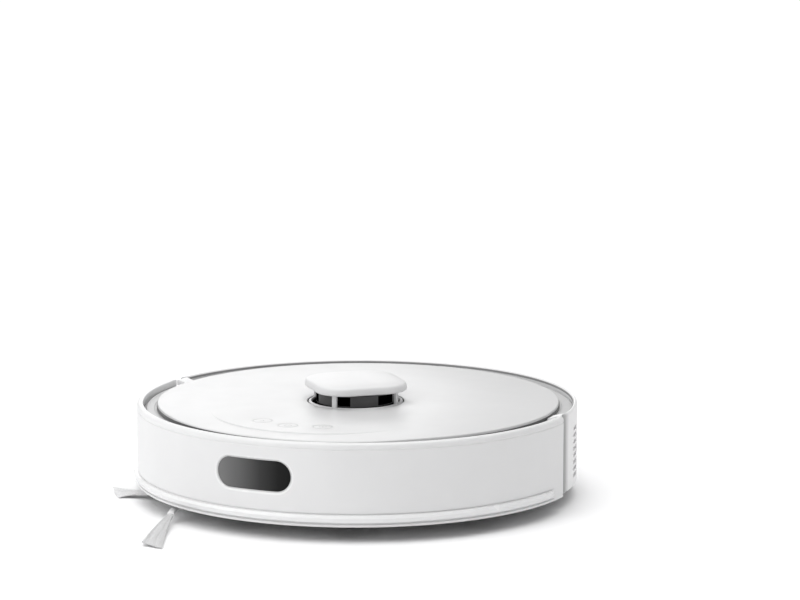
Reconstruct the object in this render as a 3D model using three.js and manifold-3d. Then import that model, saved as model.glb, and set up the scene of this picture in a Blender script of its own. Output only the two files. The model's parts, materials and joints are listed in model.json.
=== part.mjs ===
// A round robot vacuum with a laser turret, a sprung front bumper, a side brush and a rear dustbin.
// Millimetres, +Z up, the front faces -Y, and the origin is on the floor under the middle of the body.
import * as THREE from "three";
import { mergeVertices } from "three/addons/utils/BufferGeometryUtils.js";
import Module from "manifold-3d";

const wasm = await Module();
wasm.setup();

// ---- Driving dimensions ----
const GAP = 0.3; // clearance between pieces that touch
const ROUND = 64; // sides of the large circles
const SMALL_ROUND = 20; // sides of the small circles

const BODY_RADIUS = 160;
const SHELL_WALL = 3;
const SKIRT_BOTTOM = 9.5; // ground clearance of the body
const SHELL_BOTTOM = 10.8; // lower edge of the bumper and the rear shell
const CREST = 69; // top of the rim round the body
const PLATE_TOP = 68.5; // upper face of the top cover
const PLATE_RADIUS = 146.5;
const DECK_TOP = 64.2; // recessed ring between cover and rim
const DECK_BOTTOM = 61.5;
const FLOOR_TOP = 12; // inner face of the chassis floor

const BUMPER_RADIUS = 161.5;
const BUMPER_HALF_ANGLE = 91.7; // degrees each way from the front
const BUMPER_TRAVEL = 4;
const SHELL_START_ANGLE = 93.8; // leaves the bumper its travel
const STRIP_HALF_ANGLE = 86;
const WINDOW_WIDTH = 59;
const WINDOW_HEIGHT = 22.8;
const WINDOW_Z = 44.2;

const TURRET_Y = -4;
const TURRET_HOLE = 35.5;
const CAP_HALF_WIDTH = 34;
const CAP_CORNER = 20;
const CAP_BOTTOM = 77.6;
const CAP_TOP = 85.5;
const RING_TOP = 68.9; // top of the ring round the rotor
const ROTOR_RADIUS = 28.8;

const BUTTON_RADIUS = 7.25;
const BUTTON_PLACES = {
  button_left: [-24, -100.4],
  button_middle: [0, -107],
  button_right: [24, -100.4],
};

const WHEEL_X = 120;
const WHEEL_Y = 7; // the weight lies ahead of the axles, between them and the caster
const WHEEL_RADIUS = 29;
const WHEEL_WIDTH = 15;
const ARM_PIVOT = { y: 36, z: 36 }; // y is counted from the axle
const CASTER_Y = -94;
const CASTER_RADIUS = 11;
const CASTER_TRAIL = 3;
const CASTER_SEAT = 16.5; // radius of the swivel

const SIDE_BRUSH = { x: -70, y: -117 };
const SIDE_ARM_FIRST_ANGLE = 160; // degrees from +X to the first arm
const SIDE_ARM_REACH = 31; // end of the moulded arm
const SIDE_BRISTLE_REACH = 101; // tip of the longest bristles

const BRUSH_Y = 24;
const BRUSH_Z = 19.8;
const BRUSH_RADIUS = 19.2;
const BRUSH_HALF_LENGTH = 77;

const BIN_HALF_WIDTH = 88;
const BIN_FRONT = 61.5;
const BIN_BOTTOM = 12.6;
const BIN_TOP = 50;
const LID_TOP = 53;
const PORT_Z = 31; // middle of the emptying port in the bin's rear wall

const BLOWER = { x: 66, y: -52, radius: 28 };
const CONTACT_X = 45;
const CONTACT_Z = 60;
const CONTACT_POCKET_Y = 151; // floor of the pocket that each charging contact lies in

// ---- Materials ----
function material(color, roughness, metalness = 0) {
  return new THREE.MeshStandardMaterial({ color, roughness, metalness });
}

const whiteGloss = material(0xf4f4f3, 0.25);
const whiteSatin = material(0xeeeeed, 0.45);
const lightGrey = material(0xc4c5c6, 0.5);
const darkPlastic = material(0x2a2b2d, 0.6);
const smoked = material(0x17181a, 0.12);
const rubber = material(0x1c1c1d, 0.85);
const steel = material(0x9a9da0, 0.35, 1);
const nickel = material(0xc8c9c6, 0.25, 1);
const bristle = material(0xe2e2de, 0.8);
const board = material(0x1f5a3c, 0.5);
const bladeGrey = material(0x55585c, 0.7);
const filterPaper = material(0xf1efe8, 0.95);

// ---- Solids from three.js geometry ----
function solid(geometry) {
  const bare = geometry.index ? geometry.toNonIndexed() : geometry.clone();
  for (const name of Object.keys(bare.attributes)) {
    if (name !== "position") bare.deleteAttribute(name);
  }
  const merged = mergeVertices(bare, 1e-4);
  const vertProperties = new Float32Array(merged.attributes.position.array);
  const kept = [];
  const index = merged.index.array;
  for (let i = 0; i < index.length; i += 3) {
    const [a, b, c] = [index[i], index[i + 1], index[i + 2]];
    if (a !== b && b !== c && c !== a) kept.push(a, b, c);
  }
  return new wasm.Manifold(new wasm.Mesh({ numProp: 3, vertProperties, triVerts: new Uint32Array(kept) }));
}

function geometryOf(manifold) {
  const mesh = manifold.getMesh();
  const geometry = new THREE.BufferGeometry();
  geometry.setAttribute("position", new THREE.BufferAttribute(mesh.vertProperties, 3));
  geometry.setIndex(new THREE.BufferAttribute(mesh.triVerts, 1));
  return geometry.toNonIndexed();
}

const union = (...solids) => solids.reduce((all, next) => all.add(next));

// A box from its low and high corners.
function block(x0, x1, y0, y1, z0, z1) {
  const geometry = new THREE.BoxGeometry(x1 - x0, y1 - y0, z1 - z0);
  geometry.translate((x0 + x1) / 2, (y0 + y1) / 2, (z0 + z1) / 2);
  return solid(geometry);
}

// A solid of revolution about Z from [radius, z] points listed counter-clockwise.
function turned(profile, segments = ROUND) {
  const points = profile.map(([radius, z]) => new THREE.Vector2(radius, z));
  const offTheAxis = profile[0][0] > 0;
  if (offTheAxis) points.push(points[0].clone());
  const geometry = new THREE.LatheGeometry(points, segments);
  geometry.rotateX(Math.PI / 2);
  return solid(geometry);
}

function disc(radius, z0, z1, segments = ROUND) {
  return turned([[0, z0], [radius, z0], [radius, z1], [0, z1]], segments);
}

function ring(inner, outer, z0, z1, segments = ROUND) {
  return turned([[inner, z0], [outer, z0], [outer, z1], [inner, z1]], segments);
}

// An upright cylinder at (x, y).
function post(x, y, radius, z0, z1, segments = SMALL_ROUND) {
  return disc(radius, z0, z1, segments).translate([x, y, 0]);
}

// A cylinder along X.
function rod(x0, x1, y, z, radius, segments = SMALL_ROUND) {
  const geometry = new THREE.CylinderGeometry(radius, radius, x1 - x0, segments);
  geometry.rotateZ(Math.PI / 2);
  geometry.translate((x0 + x1) / 2, y, z);
  return solid(geometry);
}

function polygon(corners) {
  return new THREE.Shape(corners.map(([x, y]) => new THREE.Vector2(x, y)));
}

// A shape drawn in XY and raised from z0 to z1.
function raised(shape, z0, z1, curveSegments = 8) {
  const geometry = new THREE.ExtrudeGeometry(shape, { depth: z1 - z0, bevelEnabled: false, curveSegments });
  geometry.translate(0, 0, z0);
  return solid(geometry);
}

// A shape drawn with Y across and Z up, carried along X from x0 to x1.
function carriedAlongX(shape, x0, x1, curveSegments = 8) {
  const geometry = new THREE.ExtrudeGeometry(shape, { depth: x1 - x0, bevelEnabled: false, curveSegments });
  geometry.rotateX(Math.PI / 2);
  geometry.rotateZ(Math.PI / 2);
  geometry.translate(x0, 0, 0);
  return solid(geometry);
}

// A point in plan, from an angle in degrees from the front (-Y), positive towards +X.
function atAngle(angle, radius) {
  const turn = THREE.MathUtils.degToRad(angle);
  return [radius * Math.sin(turn), -radius * Math.cos(turn)];
}

// A slice of the space round Z between two such angles.
function wedge(angle0, angle1, z0 = 0, z1 = 100) {
  const reach = 400;
  const steps = Math.ceil((angle1 - angle0) / 30);
  const shape = new THREE.Shape();
  shape.moveTo(0, 0);
  for (let i = 0; i <= steps; i++) {
    const angle = angle0 + ((angle1 - angle0) * i) / steps;
    shape.lineTo(...atAngle(angle, reach));
  }
  shape.closePath();
  return raised(shape, z0, z1);
}

// A rectangle with round corners about a centre, as a path or a shape.
function roundedRectangle(halfX, halfY, corner, x = 0, y = 0) {
  const shape = new THREE.Shape();
  const quarter = Math.PI / 2;
  shape.moveTo(x + halfX, y - halfY + corner);
  shape.absarc(x + halfX - corner, y + halfY - corner, corner, 0, quarter, false);
  shape.absarc(x - halfX + corner, y + halfY - corner, corner, quarter, 2 * quarter, false);
  shape.absarc(x - halfX + corner, y - halfY + corner, corner, 2 * quarter, 3 * quarter, false);
  shape.absarc(x + halfX - corner, y - halfY + corner, corner, 3 * quarter, 4 * quarter, false);
  return shape;
}

// The outline that the body keeps so that the bumper can move back by its travel.
function clearOfBumper(radius, z0, z1) {
  return disc(radius, z0, z1).intersect(disc(radius, z0, z1).translate([0, BUMPER_TRAVEL + GAP, 0]));
}

// A helical spring along Z.
function coil(radius, wire, z0, z1, turns) {
  const points = [];
  const stepsPerTurn = 7;
  const steps = turns * stepsPerTurn;
  for (let i = 0; i <= steps; i++) {
    const turn = (2 * Math.PI * i) / stepsPerTurn;
    const z = z0 + ((z1 - z0) * i) / steps;
    points.push(new THREE.Vector3(radius * Math.cos(turn), radius * Math.sin(turn), z));
  }
  const section = new THREE.Shape();
  section.absarc(0, 0, wire / 2, 0, 2 * Math.PI, false);
  const path = new THREE.CatmullRomCurve3(points);
  return solid(new THREE.ExtrudeGeometry(section, { steps, extrudePath: path, curveSegments: 4 }));
}

// ---- Body: chassis, shells and cover ----
const WHEEL_BAY = { x0: 96, x1: 129.5, y0: WHEEL_Y - 31.5, y1: WHEEL_Y + 46 };
const BAY_WALL = 1.6;
const BATTERY_HALF = 36;
const BATTERY_Y = [-66, -5];
const BRUSH_BAY = { half: 81.6, y0: 0, y1: 47.8 };
const CLIFF_PLACES = [-62, -8, 24, 62].map((angle) => atAngle(angle, 141));
const CLIFF_HALF = { x: 8, y: 4 };
const VENT = { angles: [105.5, 112.5], halfAngle: 2.5, rows: 8, lowest: 17.8, pitch: 4.9, height: 3 };

function baseChassis() {
  const bayTop = DECK_BOTTOM - 1;
  let body = clearOfBumper(156.5, SKIRT_BOTTOM, FLOOR_TOP);
  const wall = clearOfBumper(151.5, FLOOR_TOP - 1, DECK_BOTTOM - GAP)
    .subtract(clearOfBumper(149, 0, 100))
    .intersect(wedge(-96, 96));
  body = body.add(wall);
  for (const side of [-1, 1]) {
    const [x0, x1] = side > 0 ? [WHEEL_BAY.x0, WHEEL_BAY.x1] : [-WHEEL_BAY.x1, -WHEEL_BAY.x0];
    const [y0, y1] = [WHEEL_BAY.y0, WHEEL_BAY.y1];
    const outer = block(x0 - BAY_WALL, x1 + BAY_WALL, y0 - BAY_WALL, y1 + BAY_WALL, FLOOR_TOP - 1, bayTop);
    body = body.add(outer).subtract(block(x0, x1, y0, y1, 0, bayTop + 1));
  }
  const battery = BATTERY_HALF + 1;
  body = body.subtract(block(-BRUSH_BAY.half, BRUSH_BAY.half, BRUSH_BAY.y0, BRUSH_BAY.y1, 0, 20));
  body = body.subtract(block(-battery, battery, BATTERY_Y[0] - 1, BATTERY_Y[1] + 1, 0, 20));
  body = body.add(post(0, CASTER_Y, CASTER_SEAT + 3, FLOOR_TOP - 1, 40));
  body = body.subtract(post(0, CASTER_Y, CASTER_SEAT + 0.6, 0, 28));
  body = body.subtract(post(0, CASTER_Y, 4.4, 0, 100));
  body = body.subtract(post(SIDE_BRUSH.x, SIDE_BRUSH.y, 6, 0, 20));
  const [cliffX, cliffY] = [CLIFF_HALF.x + GAP, CLIFF_HALF.y + GAP];
  for (const [x, y] of CLIFF_PLACES) {
    body = body.subtract(block(x - cliffX, x + cliffX, y - cliffY, y + cliffY, 0, 20));
  }
  const accessoryPad = block(-60, 60, 84, 132, SKIRT_BOTTOM - 0.4, SKIRT_BOTTOM + 1);
  return body.add(accessoryPad);
}

function rearShell() {
  const inner = BODY_RADIUS - SHELL_WALL;
  const profile = [
    [inner, SHELL_BOTTOM], [157.8, SHELL_BOTTOM], [159.3, 12.2], [BODY_RADIUS, 15], [BODY_RADIUS, 66.8],
    [159.5, 68.4], [158.6, CREST], [157.5, 68.6], [inner, 67.5],
  ];
  let shell = turned(profile).intersect(wedge(SHELL_START_ANGLE, 360 - SHELL_START_ANGLE));
  for (const side of [-1, 1]) {
    const postWedge = side > 0 ? wedge(92.1, 96.6) : wedge(-96.6, -92.1);
    shell = shell.add(ring(148.5, 157.6, DECK_TOP + GAP, 67.6).intersect(postWedge));
    // A recessed guard closes the slot that opens behind the bumper's end.
    const guardWedge = side > 0 ? wedge(89, 97) : wedge(-97, -89);
    shell = shell.add(ring(155, 157.6, FLOOR_TOP + GAP, DECK_BOTTOM - GAP).intersect(guardWedge));
    const x = side * CONTACT_X;
    const backing = block(x - 8.5, x + 8.5, 140, CONTACT_POCKET_Y, CONTACT_Z - 6, DECK_BOTTOM - GAP);
    shell = shell.add(backing.subtract(disc(146.8, 0, 100)));
    shell = shell.subtract(block(x - 7, x + 7, CONTACT_POCKET_Y, 170, CONTACT_Z - 4.5, CONTACT_Z + 4.5));
    for (const angle of VENT.angles) shell = shell.subtract(ventSlots(side * angle));
  }
  const half = BIN_HALF_WIDTH + 1.5;
  const binWindow = block(-half, half, 100, 170, BIN_BOTTOM - GAP, LID_TOP + 0.5);
  return shell.subtract(binWindow);
}

// One column of side vents, as the solid to cut away.
function ventSlots(angle) {
  const slots = [];
  for (let row = 0; row < VENT.rows; row++) {
    const z = VENT.lowest + row * VENT.pitch;
    slots.push(wedge(angle - VENT.halfAngle, angle + VENT.halfAngle, z, z + VENT.height));
  }
  return union(...slots);
}

function upperFrame() {
  let frame = clearOfBumper(156.7, DECK_BOTTOM, DECK_TOP);
  frame = frame.subtract(post(0, TURRET_Y, 35.2, 0, 100, 48));
  for (const side of [-1, 1]) {
    const x = side * CONTACT_X;
    frame = frame.subtract(block(x - 7.2, x + 7.2, CONTACT_POCKET_Y, 170, 0, 100));
  }
  return frame;
}

function topCover() {
  const lipRadius = PLATE_RADIUS - 4.5;
  const profile = [
    [0, 66], [lipRadius, 66], [lipRadius, DECK_TOP + GAP], [PLATE_RADIUS, DECK_TOP + GAP],
    [PLATE_RADIUS, PLATE_TOP - 0.5], [PLATE_RADIUS - 0.5, PLATE_TOP], [0, PLATE_TOP],
  ];
  let cover = turned(profile).subtract(post(0, TURRET_Y, TURRET_HOLE, 0, 100, 48));
  for (const [x, y] of Object.values(BUTTON_PLACES)) {
    cover = cover.subtract(post(x, y, BUTTON_RADIUS + GAP, 0, 100));
  }
  return cover;
}

// ---- Turret ----
const LIDAR_MOTOR = { x: -46, y: 12 };
const BELT_Z = [54.9, 56.3];
const ROTOR_PULLEY_RADIUS = 20;
const MOTOR_PULLEY_RADIUS = 4; // the motor turns five times for each turn of the rotor

function turretBase() {
  const outer = TURRET_HOLE - 1;
  const profile = [
    [15, DECK_BOTTOM], [outer, DECK_BOTTOM], [outer, RING_TOP - 0.6],
    [outer - 0.6, RING_TOP], [32, RING_TOP], [32, 64], [15, 64],
  ];
  let base = turned(profile, 32);
  for (let i = 0; i < 4; i++) {
    const column = block(-2.2, 2.2, -34.2, -31.8, RING_TOP - 1, CAP_BOTTOM - GAP);
    base = base.add(column.rotate([0, 0, i * 90]));
  }
  return base.translate([0, TURRET_Y, 0]);
}

function turretCap() {
  // Each layer is an inset from the widest outline, and the heights it spans.
  const layers = [
    [3, CAP_BOTTOM, CAP_BOTTOM + 1],
    [1, CAP_BOTTOM + 0.9, CAP_BOTTOM + 2.4],
    [0, CAP_BOTTOM + 2.3, CAP_TOP - 2.6],
    [1, CAP_TOP - 2.7, CAP_TOP - 1],
    [3, CAP_TOP - 1.1, CAP_TOP],
  ];
  const slices = layers.map(([inset, z0, z1]) => {
    const half = CAP_HALF_WIDTH - inset;
    return raised(roundedRectangle(half, half, CAP_CORNER - inset), z0, z1, 4);
  });
  return union(...slices).rotate([0, 0, 45]).translate([0, TURRET_Y, 0]);
}

function lidarRotor() {
  const profile = [
    [0, 57], [14, 57], [14, 64.4], [28, 64.4], [28, 67.8],
    [ROTOR_RADIUS, 68.4], [ROTOR_RADIUS, 76.6], [0, 76.6],
  ];
  const laserWindow = block(-9, 9, -40, -22.5, 69.6, 75.4);
  return turned(profile, 36).subtract(laserWindow).translate([0, TURRET_Y, 0]);
}

function rotorPulley() {
  const groove = ROTOR_PULLEY_RADIUS;
  const flange = groove + 1.5;
  const profile = [[0, 53.6], [flange, 53.6], [flange, 54.6], [groove, 54.8], [groove, 56.4], [0, 56.4]];
  return turned(profile, 36).translate([0, TURRET_Y, 0]);
}

function lidarBelt() {
  // Two round ends joined by tangents, with the same outline inside.
  const outline = (grow) => {
    const [r0, r1] = [ROTOR_PULLEY_RADIUS + grow, MOTOR_PULLEY_RADIUS + grow];
    const [dx, dy] = [LIDAR_MOTOR.x, LIDAR_MOTOR.y - TURRET_Y];
    const length = Math.hypot(dx, dy);
    const heading = Math.atan2(dy, dx);
    const lean = Math.acos((r0 - r1) / length);
    const shape = new THREE.Shape();
    shape.absarc(0, TURRET_Y, r0, heading + lean, heading - lean + 2 * Math.PI, false);
    shape.absarc(LIDAR_MOTOR.x, LIDAR_MOTOR.y, r1, heading - lean, heading + lean, false);
    shape.closePath();
    return shape;
  };
  return raised(outline(1.2), ...BELT_Z, 9).subtract(raised(outline(GAP), 0, 100, 9));
}

// ---- Bumper ----
function bumperShell() {
  const profile = [
    [159, SHELL_BOTTOM], [161.6, SHELL_BOTTOM], [162.5, 11.6], [162.5, 13], [BUMPER_RADIUS, 13.4],
    [BUMPER_RADIUS, 67], [160.6, 68.6], [159.6, CREST], [158.4, 68.4], [158, 60], [158.6, 58],
  ];
  const shell = turned(profile).intersect(wedge(-BUMPER_HALF_ANGLE, BUMPER_HALF_ANGLE));
  return shell.subtract(windowSolid(GAP));
}

// The pill outline of the window, carried forwards through the bumper's wall.
function windowSolid(grow) {
  const half = WINDOW_WIDTH / 2 + grow;
  const halfHeight = WINDOW_HEIGHT / 2 + grow;
  const outline = roundedRectangle(half, halfHeight, halfHeight - 0.01, 0, WINDOW_Z);
  const geometry = new THREE.ExtrudeGeometry(outline, { depth: 100, bevelEnabled: false, curveSegments: 8 });
  geometry.rotateX(Math.PI / 2);
  geometry.translate(0, -100, 0);
  return solid(geometry);
}

function bumperWindow() {
  return windowSolid(0).intersect(ring(157.6, 160.9, 0, 100));
}

function bumperStrip() {
  const profile = [[161.9, 14.2], [163.4, 14.2], [164.4, 17], [164.4, 18.3], [163, 19.4], [161.9, 19.4]];
  return turned(profile).intersect(wedge(-STRIP_HALF_ANGLE, STRIP_HALF_ANGLE));
}

// The springs lie along Y between the chassis wall and the bumper.
function bumperSpring(side) {
  const [x, y] = atAngle(side * 30, 152.3);
  return coil(3, 0.8, 0, 5.1, 3).rotate([90, 0, 0]).translate([x, y + 1.3, 30]);
}

// ---- Buttons ----
function button() {
  const stem = 2.2;
  const profile = [
    [0, 64.95], [stem, 64.95], [stem, 66.4], [BUTTON_RADIUS, 66.4],
    [BUTTON_RADIUS, PLATE_TOP - 0.3], [BUTTON_RADIUS - 0.3, PLATE_TOP], [0, PLATE_TOP],
  ];
  return turned(profile, SMALL_ROUND);
}

// ---- Drive wheels: side is 1 for the module on +X and -1 for the one on -X ----
const ARM_X = [98, 111.6];
const AXLE_RADIUS = 3;
const HUB_RADIUS = 24;

function suspensionArm(side) {
  const shape = new THREE.Shape();
  const heading = Math.atan2(ARM_PIVOT.z - WHEEL_RADIUS, ARM_PIVOT.y);
  const [big, small] = [15, 8];
  const lean = Math.acos((big - small) / Math.hypot(ARM_PIVOT.y, ARM_PIVOT.z - WHEEL_RADIUS));
  shape.absarc(0, WHEEL_RADIUS, big, heading + lean, heading - lean + 2 * Math.PI, false);
  shape.absarc(ARM_PIVOT.y, ARM_PIVOT.z, small, heading - lean, heading + lean, false);
  shape.closePath();
  const [x0, x1] = side > 0 ? ARM_X : [-ARM_X[1], -ARM_X[0]];
  const [axle0, axle1] = side > 0 ? [x1 - 1, x1 + 10] : [x0 - 10, x0 + 1];
  const axle = rod(axle0, axle1, 0, WHEEL_RADIUS, AXLE_RADIUS, 16);
  return carriedAlongX(shape, x0, x1, 12).add(axle).translate([0, WHEEL_Y, 0]);
}

function wheelHub(side) {
  const half = WHEEL_WIDTH / 2;
  const [boss, dish] = [half - 0.6, half - 2.6];
  const profile = [
    [0, -boss], [9, -boss], [10, -dish], [21, -dish], [22, -half], [HUB_RADIUS, -half],
    [HUB_RADIUS, half], [22, half], [21, dish], [10, dish], [9, boss], [0, boss],
  ];
  const axleHole = disc(AXLE_RADIUS + GAP, -half - 1, half - 3, 16);
  const hub = turned(profile, 24).subtract(axleHole);
  return hub.rotate([0, side * 90, 0]).translate([side * WHEEL_X, WHEEL_Y, WHEEL_RADIUS]);
}

function wheelTyre(side) {
  const half = WHEEL_WIDTH / 2;
  const inner = HUB_RADIUS + GAP;
  const shoulder = WHEEL_RADIUS - 1.4;
  const profile = [
    [inner, -half + 0.4], [shoulder, -half], [WHEEL_RADIUS, -half + 1.6],
    [WHEEL_RADIUS, half - 1.6], [shoulder, half], [inner, half - 0.4],
  ];
  const tyre = turned(profile, 40);
  return tyre.rotate([0, 90, 0]).translate([side * WHEEL_X, WHEEL_Y, WHEEL_RADIUS]);
}

function wheelSpring(side) {
  return coil(3, 0.8, 42, 59, 4).translate([side * 104.5, WHEEL_Y - 18.5, 0]);
}

// ---- Front caster ----
const CASTER_PIN_RADIUS = 1.4;

function casterFork() {
  let fork = disc(CASTER_SEAT, SKIRT_BOTTOM + 0.1, 27, SMALL_ROUND).add(disc(4, 26, 39, SMALL_ROUND));
  const slotFront = CASTER_TRAIL - CASTER_RADIUS - 1;
  fork = fork.subtract(block(-6.6, 6.6, slotFront, CASTER_SEAT + 1, 0, 2 * CASTER_RADIUS + 1));
  const pin = rod(-8, 8, CASTER_TRAIL, CASTER_RADIUS, CASTER_PIN_RADIUS, 12);
  return fork.add(pin).translate([0, CASTER_Y, 0]);
}

function casterWheel() {
  const bore = CASTER_PIN_RADIUS + GAP;
  const rim = CASTER_RADIUS - 1.6;
  const profile = [[bore, -6], [rim, -6], [CASTER_RADIUS, -4.2], [CASTER_RADIUS, 4.2], [rim, 6], [bore, 6]];
  return turned(profile, 24).rotate([0, 90, 0]).translate([0, CASTER_Y + CASTER_TRAIL, CASTER_RADIUS]);
}

// ---- Side brush ----
const SLEEVE_Z = [4.6, 7.4];

function sideBrushHub() {
  let hub = turned([[0, 4], [7, 4], [11, 5], [12, 8.6], [4, 8.8], [4, 20], [0, 20]], SMALL_ROUND);
  // Each arm leaves the hub trailing and curves forward again to its end.
  const end = SIDE_ARM_REACH;
  const arm = polygon([[5, -8], [20, -11.2], [end, -7.8], [end - 1, -3.8], [20, -7], [8, -2]]);
  for (let i = 0; i < 3; i++) {
    hub = hub.add(raised(arm, ...SLEEVE_Z).rotate([0, 0, SIDE_ARM_FIRST_ANGLE + i * 120]));
  }
  return hub.translate([SIDE_BRUSH.x, SIDE_BRUSH.y, 0]);
}

// A flat fan, cut slantwise at its tip, that widens and dips from the end of its arm to the floor.
function sideBristles(number) {
  const [start, tip] = [SIDE_ARM_REACH + GAP, SIDE_BRISTLE_REACH];
  const fan = polygon([[start, -7.5], [tip, -1.8], [tip - 8, 13], [start - 1, -3.8]]);
  const geometry = new THREE.ExtrudeGeometry(fan, { depth: 1.6, bevelEnabled: false });
  const places = geometry.attributes.position;
  const dip = 4.8 / (SIDE_BRISTLE_REACH - SIDE_ARM_REACH);
  for (let i = 0; i < places.count; i++) {
    const beyondArm = places.getX(i) - SIDE_ARM_REACH;
    places.setZ(i, places.getZ(i) + 5.2 - dip * beyondArm);
  }
  return solid(geometry)
    .rotate([0, 0, SIDE_ARM_FIRST_ANGLE + number * 120])
    .translate([SIDE_BRUSH.x, SIDE_BRUSH.y, 0]);
}

// ---- Main brush ----
function brushCore() {
  const core = rod(-BRUSH_HALF_LENGTH, BRUSH_HALF_LENGTH, BRUSH_Y, BRUSH_Z, 8, 18);
  const drivenEnd = rod(-88, -70, BRUSH_Y, BRUSH_Z, 3.5, 12);
  const bearingEnd = rod(70, 85.5, BRUSH_Y, BRUSH_Z, 3.5, 12);
  return union(core, drivenEnd, bearingEnd);
}

// Six blades on a sleeve, twisted into a V along the roller.
function brushBlades() {
  const blades = 6;
  const root = 10.5;
  // Corners of one blade, as a radius and an angle in radians from the blade's middle.
  const corners = [
    [root, -0.34], [root, -0.12], [BRUSH_RADIUS, -0.06], [BRUSH_RADIUS, 0.06], [root, 0.12], [root, 0.34],
  ];
  const outline = [];
  for (let i = 0; i < blades; i++) {
    for (const [radius, lead] of corners) {
      const turn = (2 * Math.PI * i) / blades + lead;
      outline.push([radius * Math.cos(turn), radius * Math.sin(turn)]);
    }
  }
  const shape = polygon(outline);
  const bore = new THREE.Path();
  bore.absarc(0, 0, 9, 0, 2 * Math.PI, true);
  shape.holes.push(bore);
  const length = 2 * (BRUSH_HALF_LENGTH - 1);
  const options = { depth: length, steps: 6, bevelEnabled: false, curveSegments: 12 };
  const geometry = new THREE.ExtrudeGeometry(shape, options);
  geometry.translate(0, 0, -length / 2);
  const places = geometry.attributes.position;
  for (let i = 0; i < places.count; i++) {
    const twist = (1.1 * Math.abs(places.getZ(i))) / BRUSH_HALF_LENGTH;
    const [x, y] = [places.getX(i), places.getY(i)];
    places.setX(i, x * Math.cos(twist) - y * Math.sin(twist));
    places.setY(i, x * Math.sin(twist) + y * Math.cos(twist));
  }
  return solid(geometry).rotate([0, 90, 0]).translate([0, BRUSH_Y, BRUSH_Z]);
}

function brushHousing() {
  let housing = block(-81.3, 81.3, 0.3, 47.5, FLOOR_TOP + GAP, 44);
  housing = housing.add(block(-53, 53, 47, 60.8, 19, 38.8));
  housing = housing.subtract(rod(-79.3, 79.3, BRUSH_Y, BRUSH_Z, BRUSH_RADIUS + 1.6, 36));
  housing = housing.subtract(block(-79.3, 79.3, BRUSH_Y - 20.8, BRUSH_Y + 20.8, 0, BRUSH_Z));
  housing = housing.subtract(block(-51, 51, BRUSH_Y, 70, 21, 36.8));
  return housing.subtract(rod(-90, 90, BRUSH_Y, BRUSH_Z, 4, 16));
}

function brushGuard() {
  let guard = block(-81, 81, 0.6, 47.2, 9, 11.6);
  guard = guard.subtract(block(-76, 76, 5.5, 42.5, 0, 20));
  const sweep = rod(-90, 90, BRUSH_Y, BRUSH_Z, BRUSH_RADIUS + 0.4, 48);
  for (let i = -2; i <= 2; i++) {
    const bar = block(i * 26 - 0.9, i * 26 + 0.9, 4, 44, 9, 10.6);
    guard = guard.add(bar.subtract(sweep));
  }
  return guard;
}

// ---- Inner machinery ----
function mainBrushGearbox() {
  const box = block(-93.8, -81.9, -34, 46, FLOOR_TOP + GAP, 43);
  return box.subtract(rod(-90, -70, BRUSH_Y, BRUSH_Z, 4, 16));
}

function mainBrushMotor() {
  return rod(-81.5, -40, -20, 27, 12, 20);
}

function brushBearing() {
  const seat = block(81.7, 87, BRUSH_Y - 8, BRUSH_Y + 8, FLOOR_TOP + GAP, 30);
  return seat.subtract(rod(70, 90, BRUSH_Y, BRUSH_Z, 4, 16));
}

function sideBrushMotor() {
  const motor = post(SIDE_BRUSH.x, SIDE_BRUSH.y, 8.5, FLOOR_TOP + GAP, 38, 20);
  return motor.subtract(post(SIDE_BRUSH.x, SIDE_BRUSH.y, 4.3, 0, 21, 16));
}

function lidarMotor() {
  return post(LIDAR_MOTOR.x, LIDAR_MOTOR.y, 11, 44.5, 53.5, 20);
}

function lidarMotorPulley() {
  const groove = MOTOR_PULLEY_RADIUS;
  const flange = groove + 1.4;
  const profile = [[0, 53.8], [flange, 53.8], [flange, 54.6], [groove, 54.8], [groove, 56.4], [0, 56.4]];
  return turned(profile, 20).translate([LIDAR_MOTOR.x, LIDAR_MOTOR.y, 0]);
}

function batteryPack() {
  return block(-BATTERY_HALF, BATTERY_HALF, ...BATTERY_Y, 13, 33);
}

function batteryDoor() {
  const half = BATTERY_HALF + 0.7;
  return block(-half, half, BATTERY_Y[0] - 0.7, BATTERY_Y[1] + 0.7, SKIRT_BOTTOM, FLOOR_TOP + 0.2);
}

function mainBoard() {
  const sheet = block(-92, -22, -96, -36, 42.4, 44);
  const processor = block(-80, -62, -80, -62, 43.8, 46.2);
  const inductor = block(-52, -42, -70, -54, 43.8, 47);
  const connector = block(-36, -28, -88, -60, 43.8, 50);
  return union(sheet, processor, inductor, connector);
}

function blowerHousing() {
  let housing = disc(BLOWER.radius, 13, 44.5, 36).add(block(0, BLOWER.radius + 2, -27.6, -10, 24, 42));
  housing = housing.subtract(disc(24, 24, 42.5, 36)).subtract(disc(12, 30, 60, SMALL_ROUND));
  housing = housing.subtract(block(0, 60, -25.6, -12, 26, 40));
  return housing.translate([BLOWER.x, BLOWER.y, 0]);
}

function blowerImpeller() {
  let impeller = disc(22, 24.6, 26.2, 30).add(disc(6, 25, 40, 16));
  for (let i = 0; i < 9; i++) {
    impeller = impeller.add(block(5, 21.4, -0.7, 0.7, 26, 37).rotate([0, 0, i * 40]));
  }
  return impeller.translate([BLOWER.x, BLOWER.y, 0]);
}

function airDuct() {
  let duct = block(42, 90, -78, 60.8, 46, 58).add(block(42, 90, 48, 60.8, 40, 58));
  duct = duct.subtract(block(44, 88, -76, 70, 48, 56)).subtract(block(44, 88, 50, 70, 42, 56));
  return duct.subtract(post(BLOWER.x, BLOWER.y, 12, 40, 50));
}

function cliffWindow([x, y]) {
  const { x: halfX, y: halfY } = CLIFF_HALF;
  return block(x - halfX, x + halfX, y - halfY, y + halfY, SKIRT_BOTTOM, FLOOR_TOP + 2);
}

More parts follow.
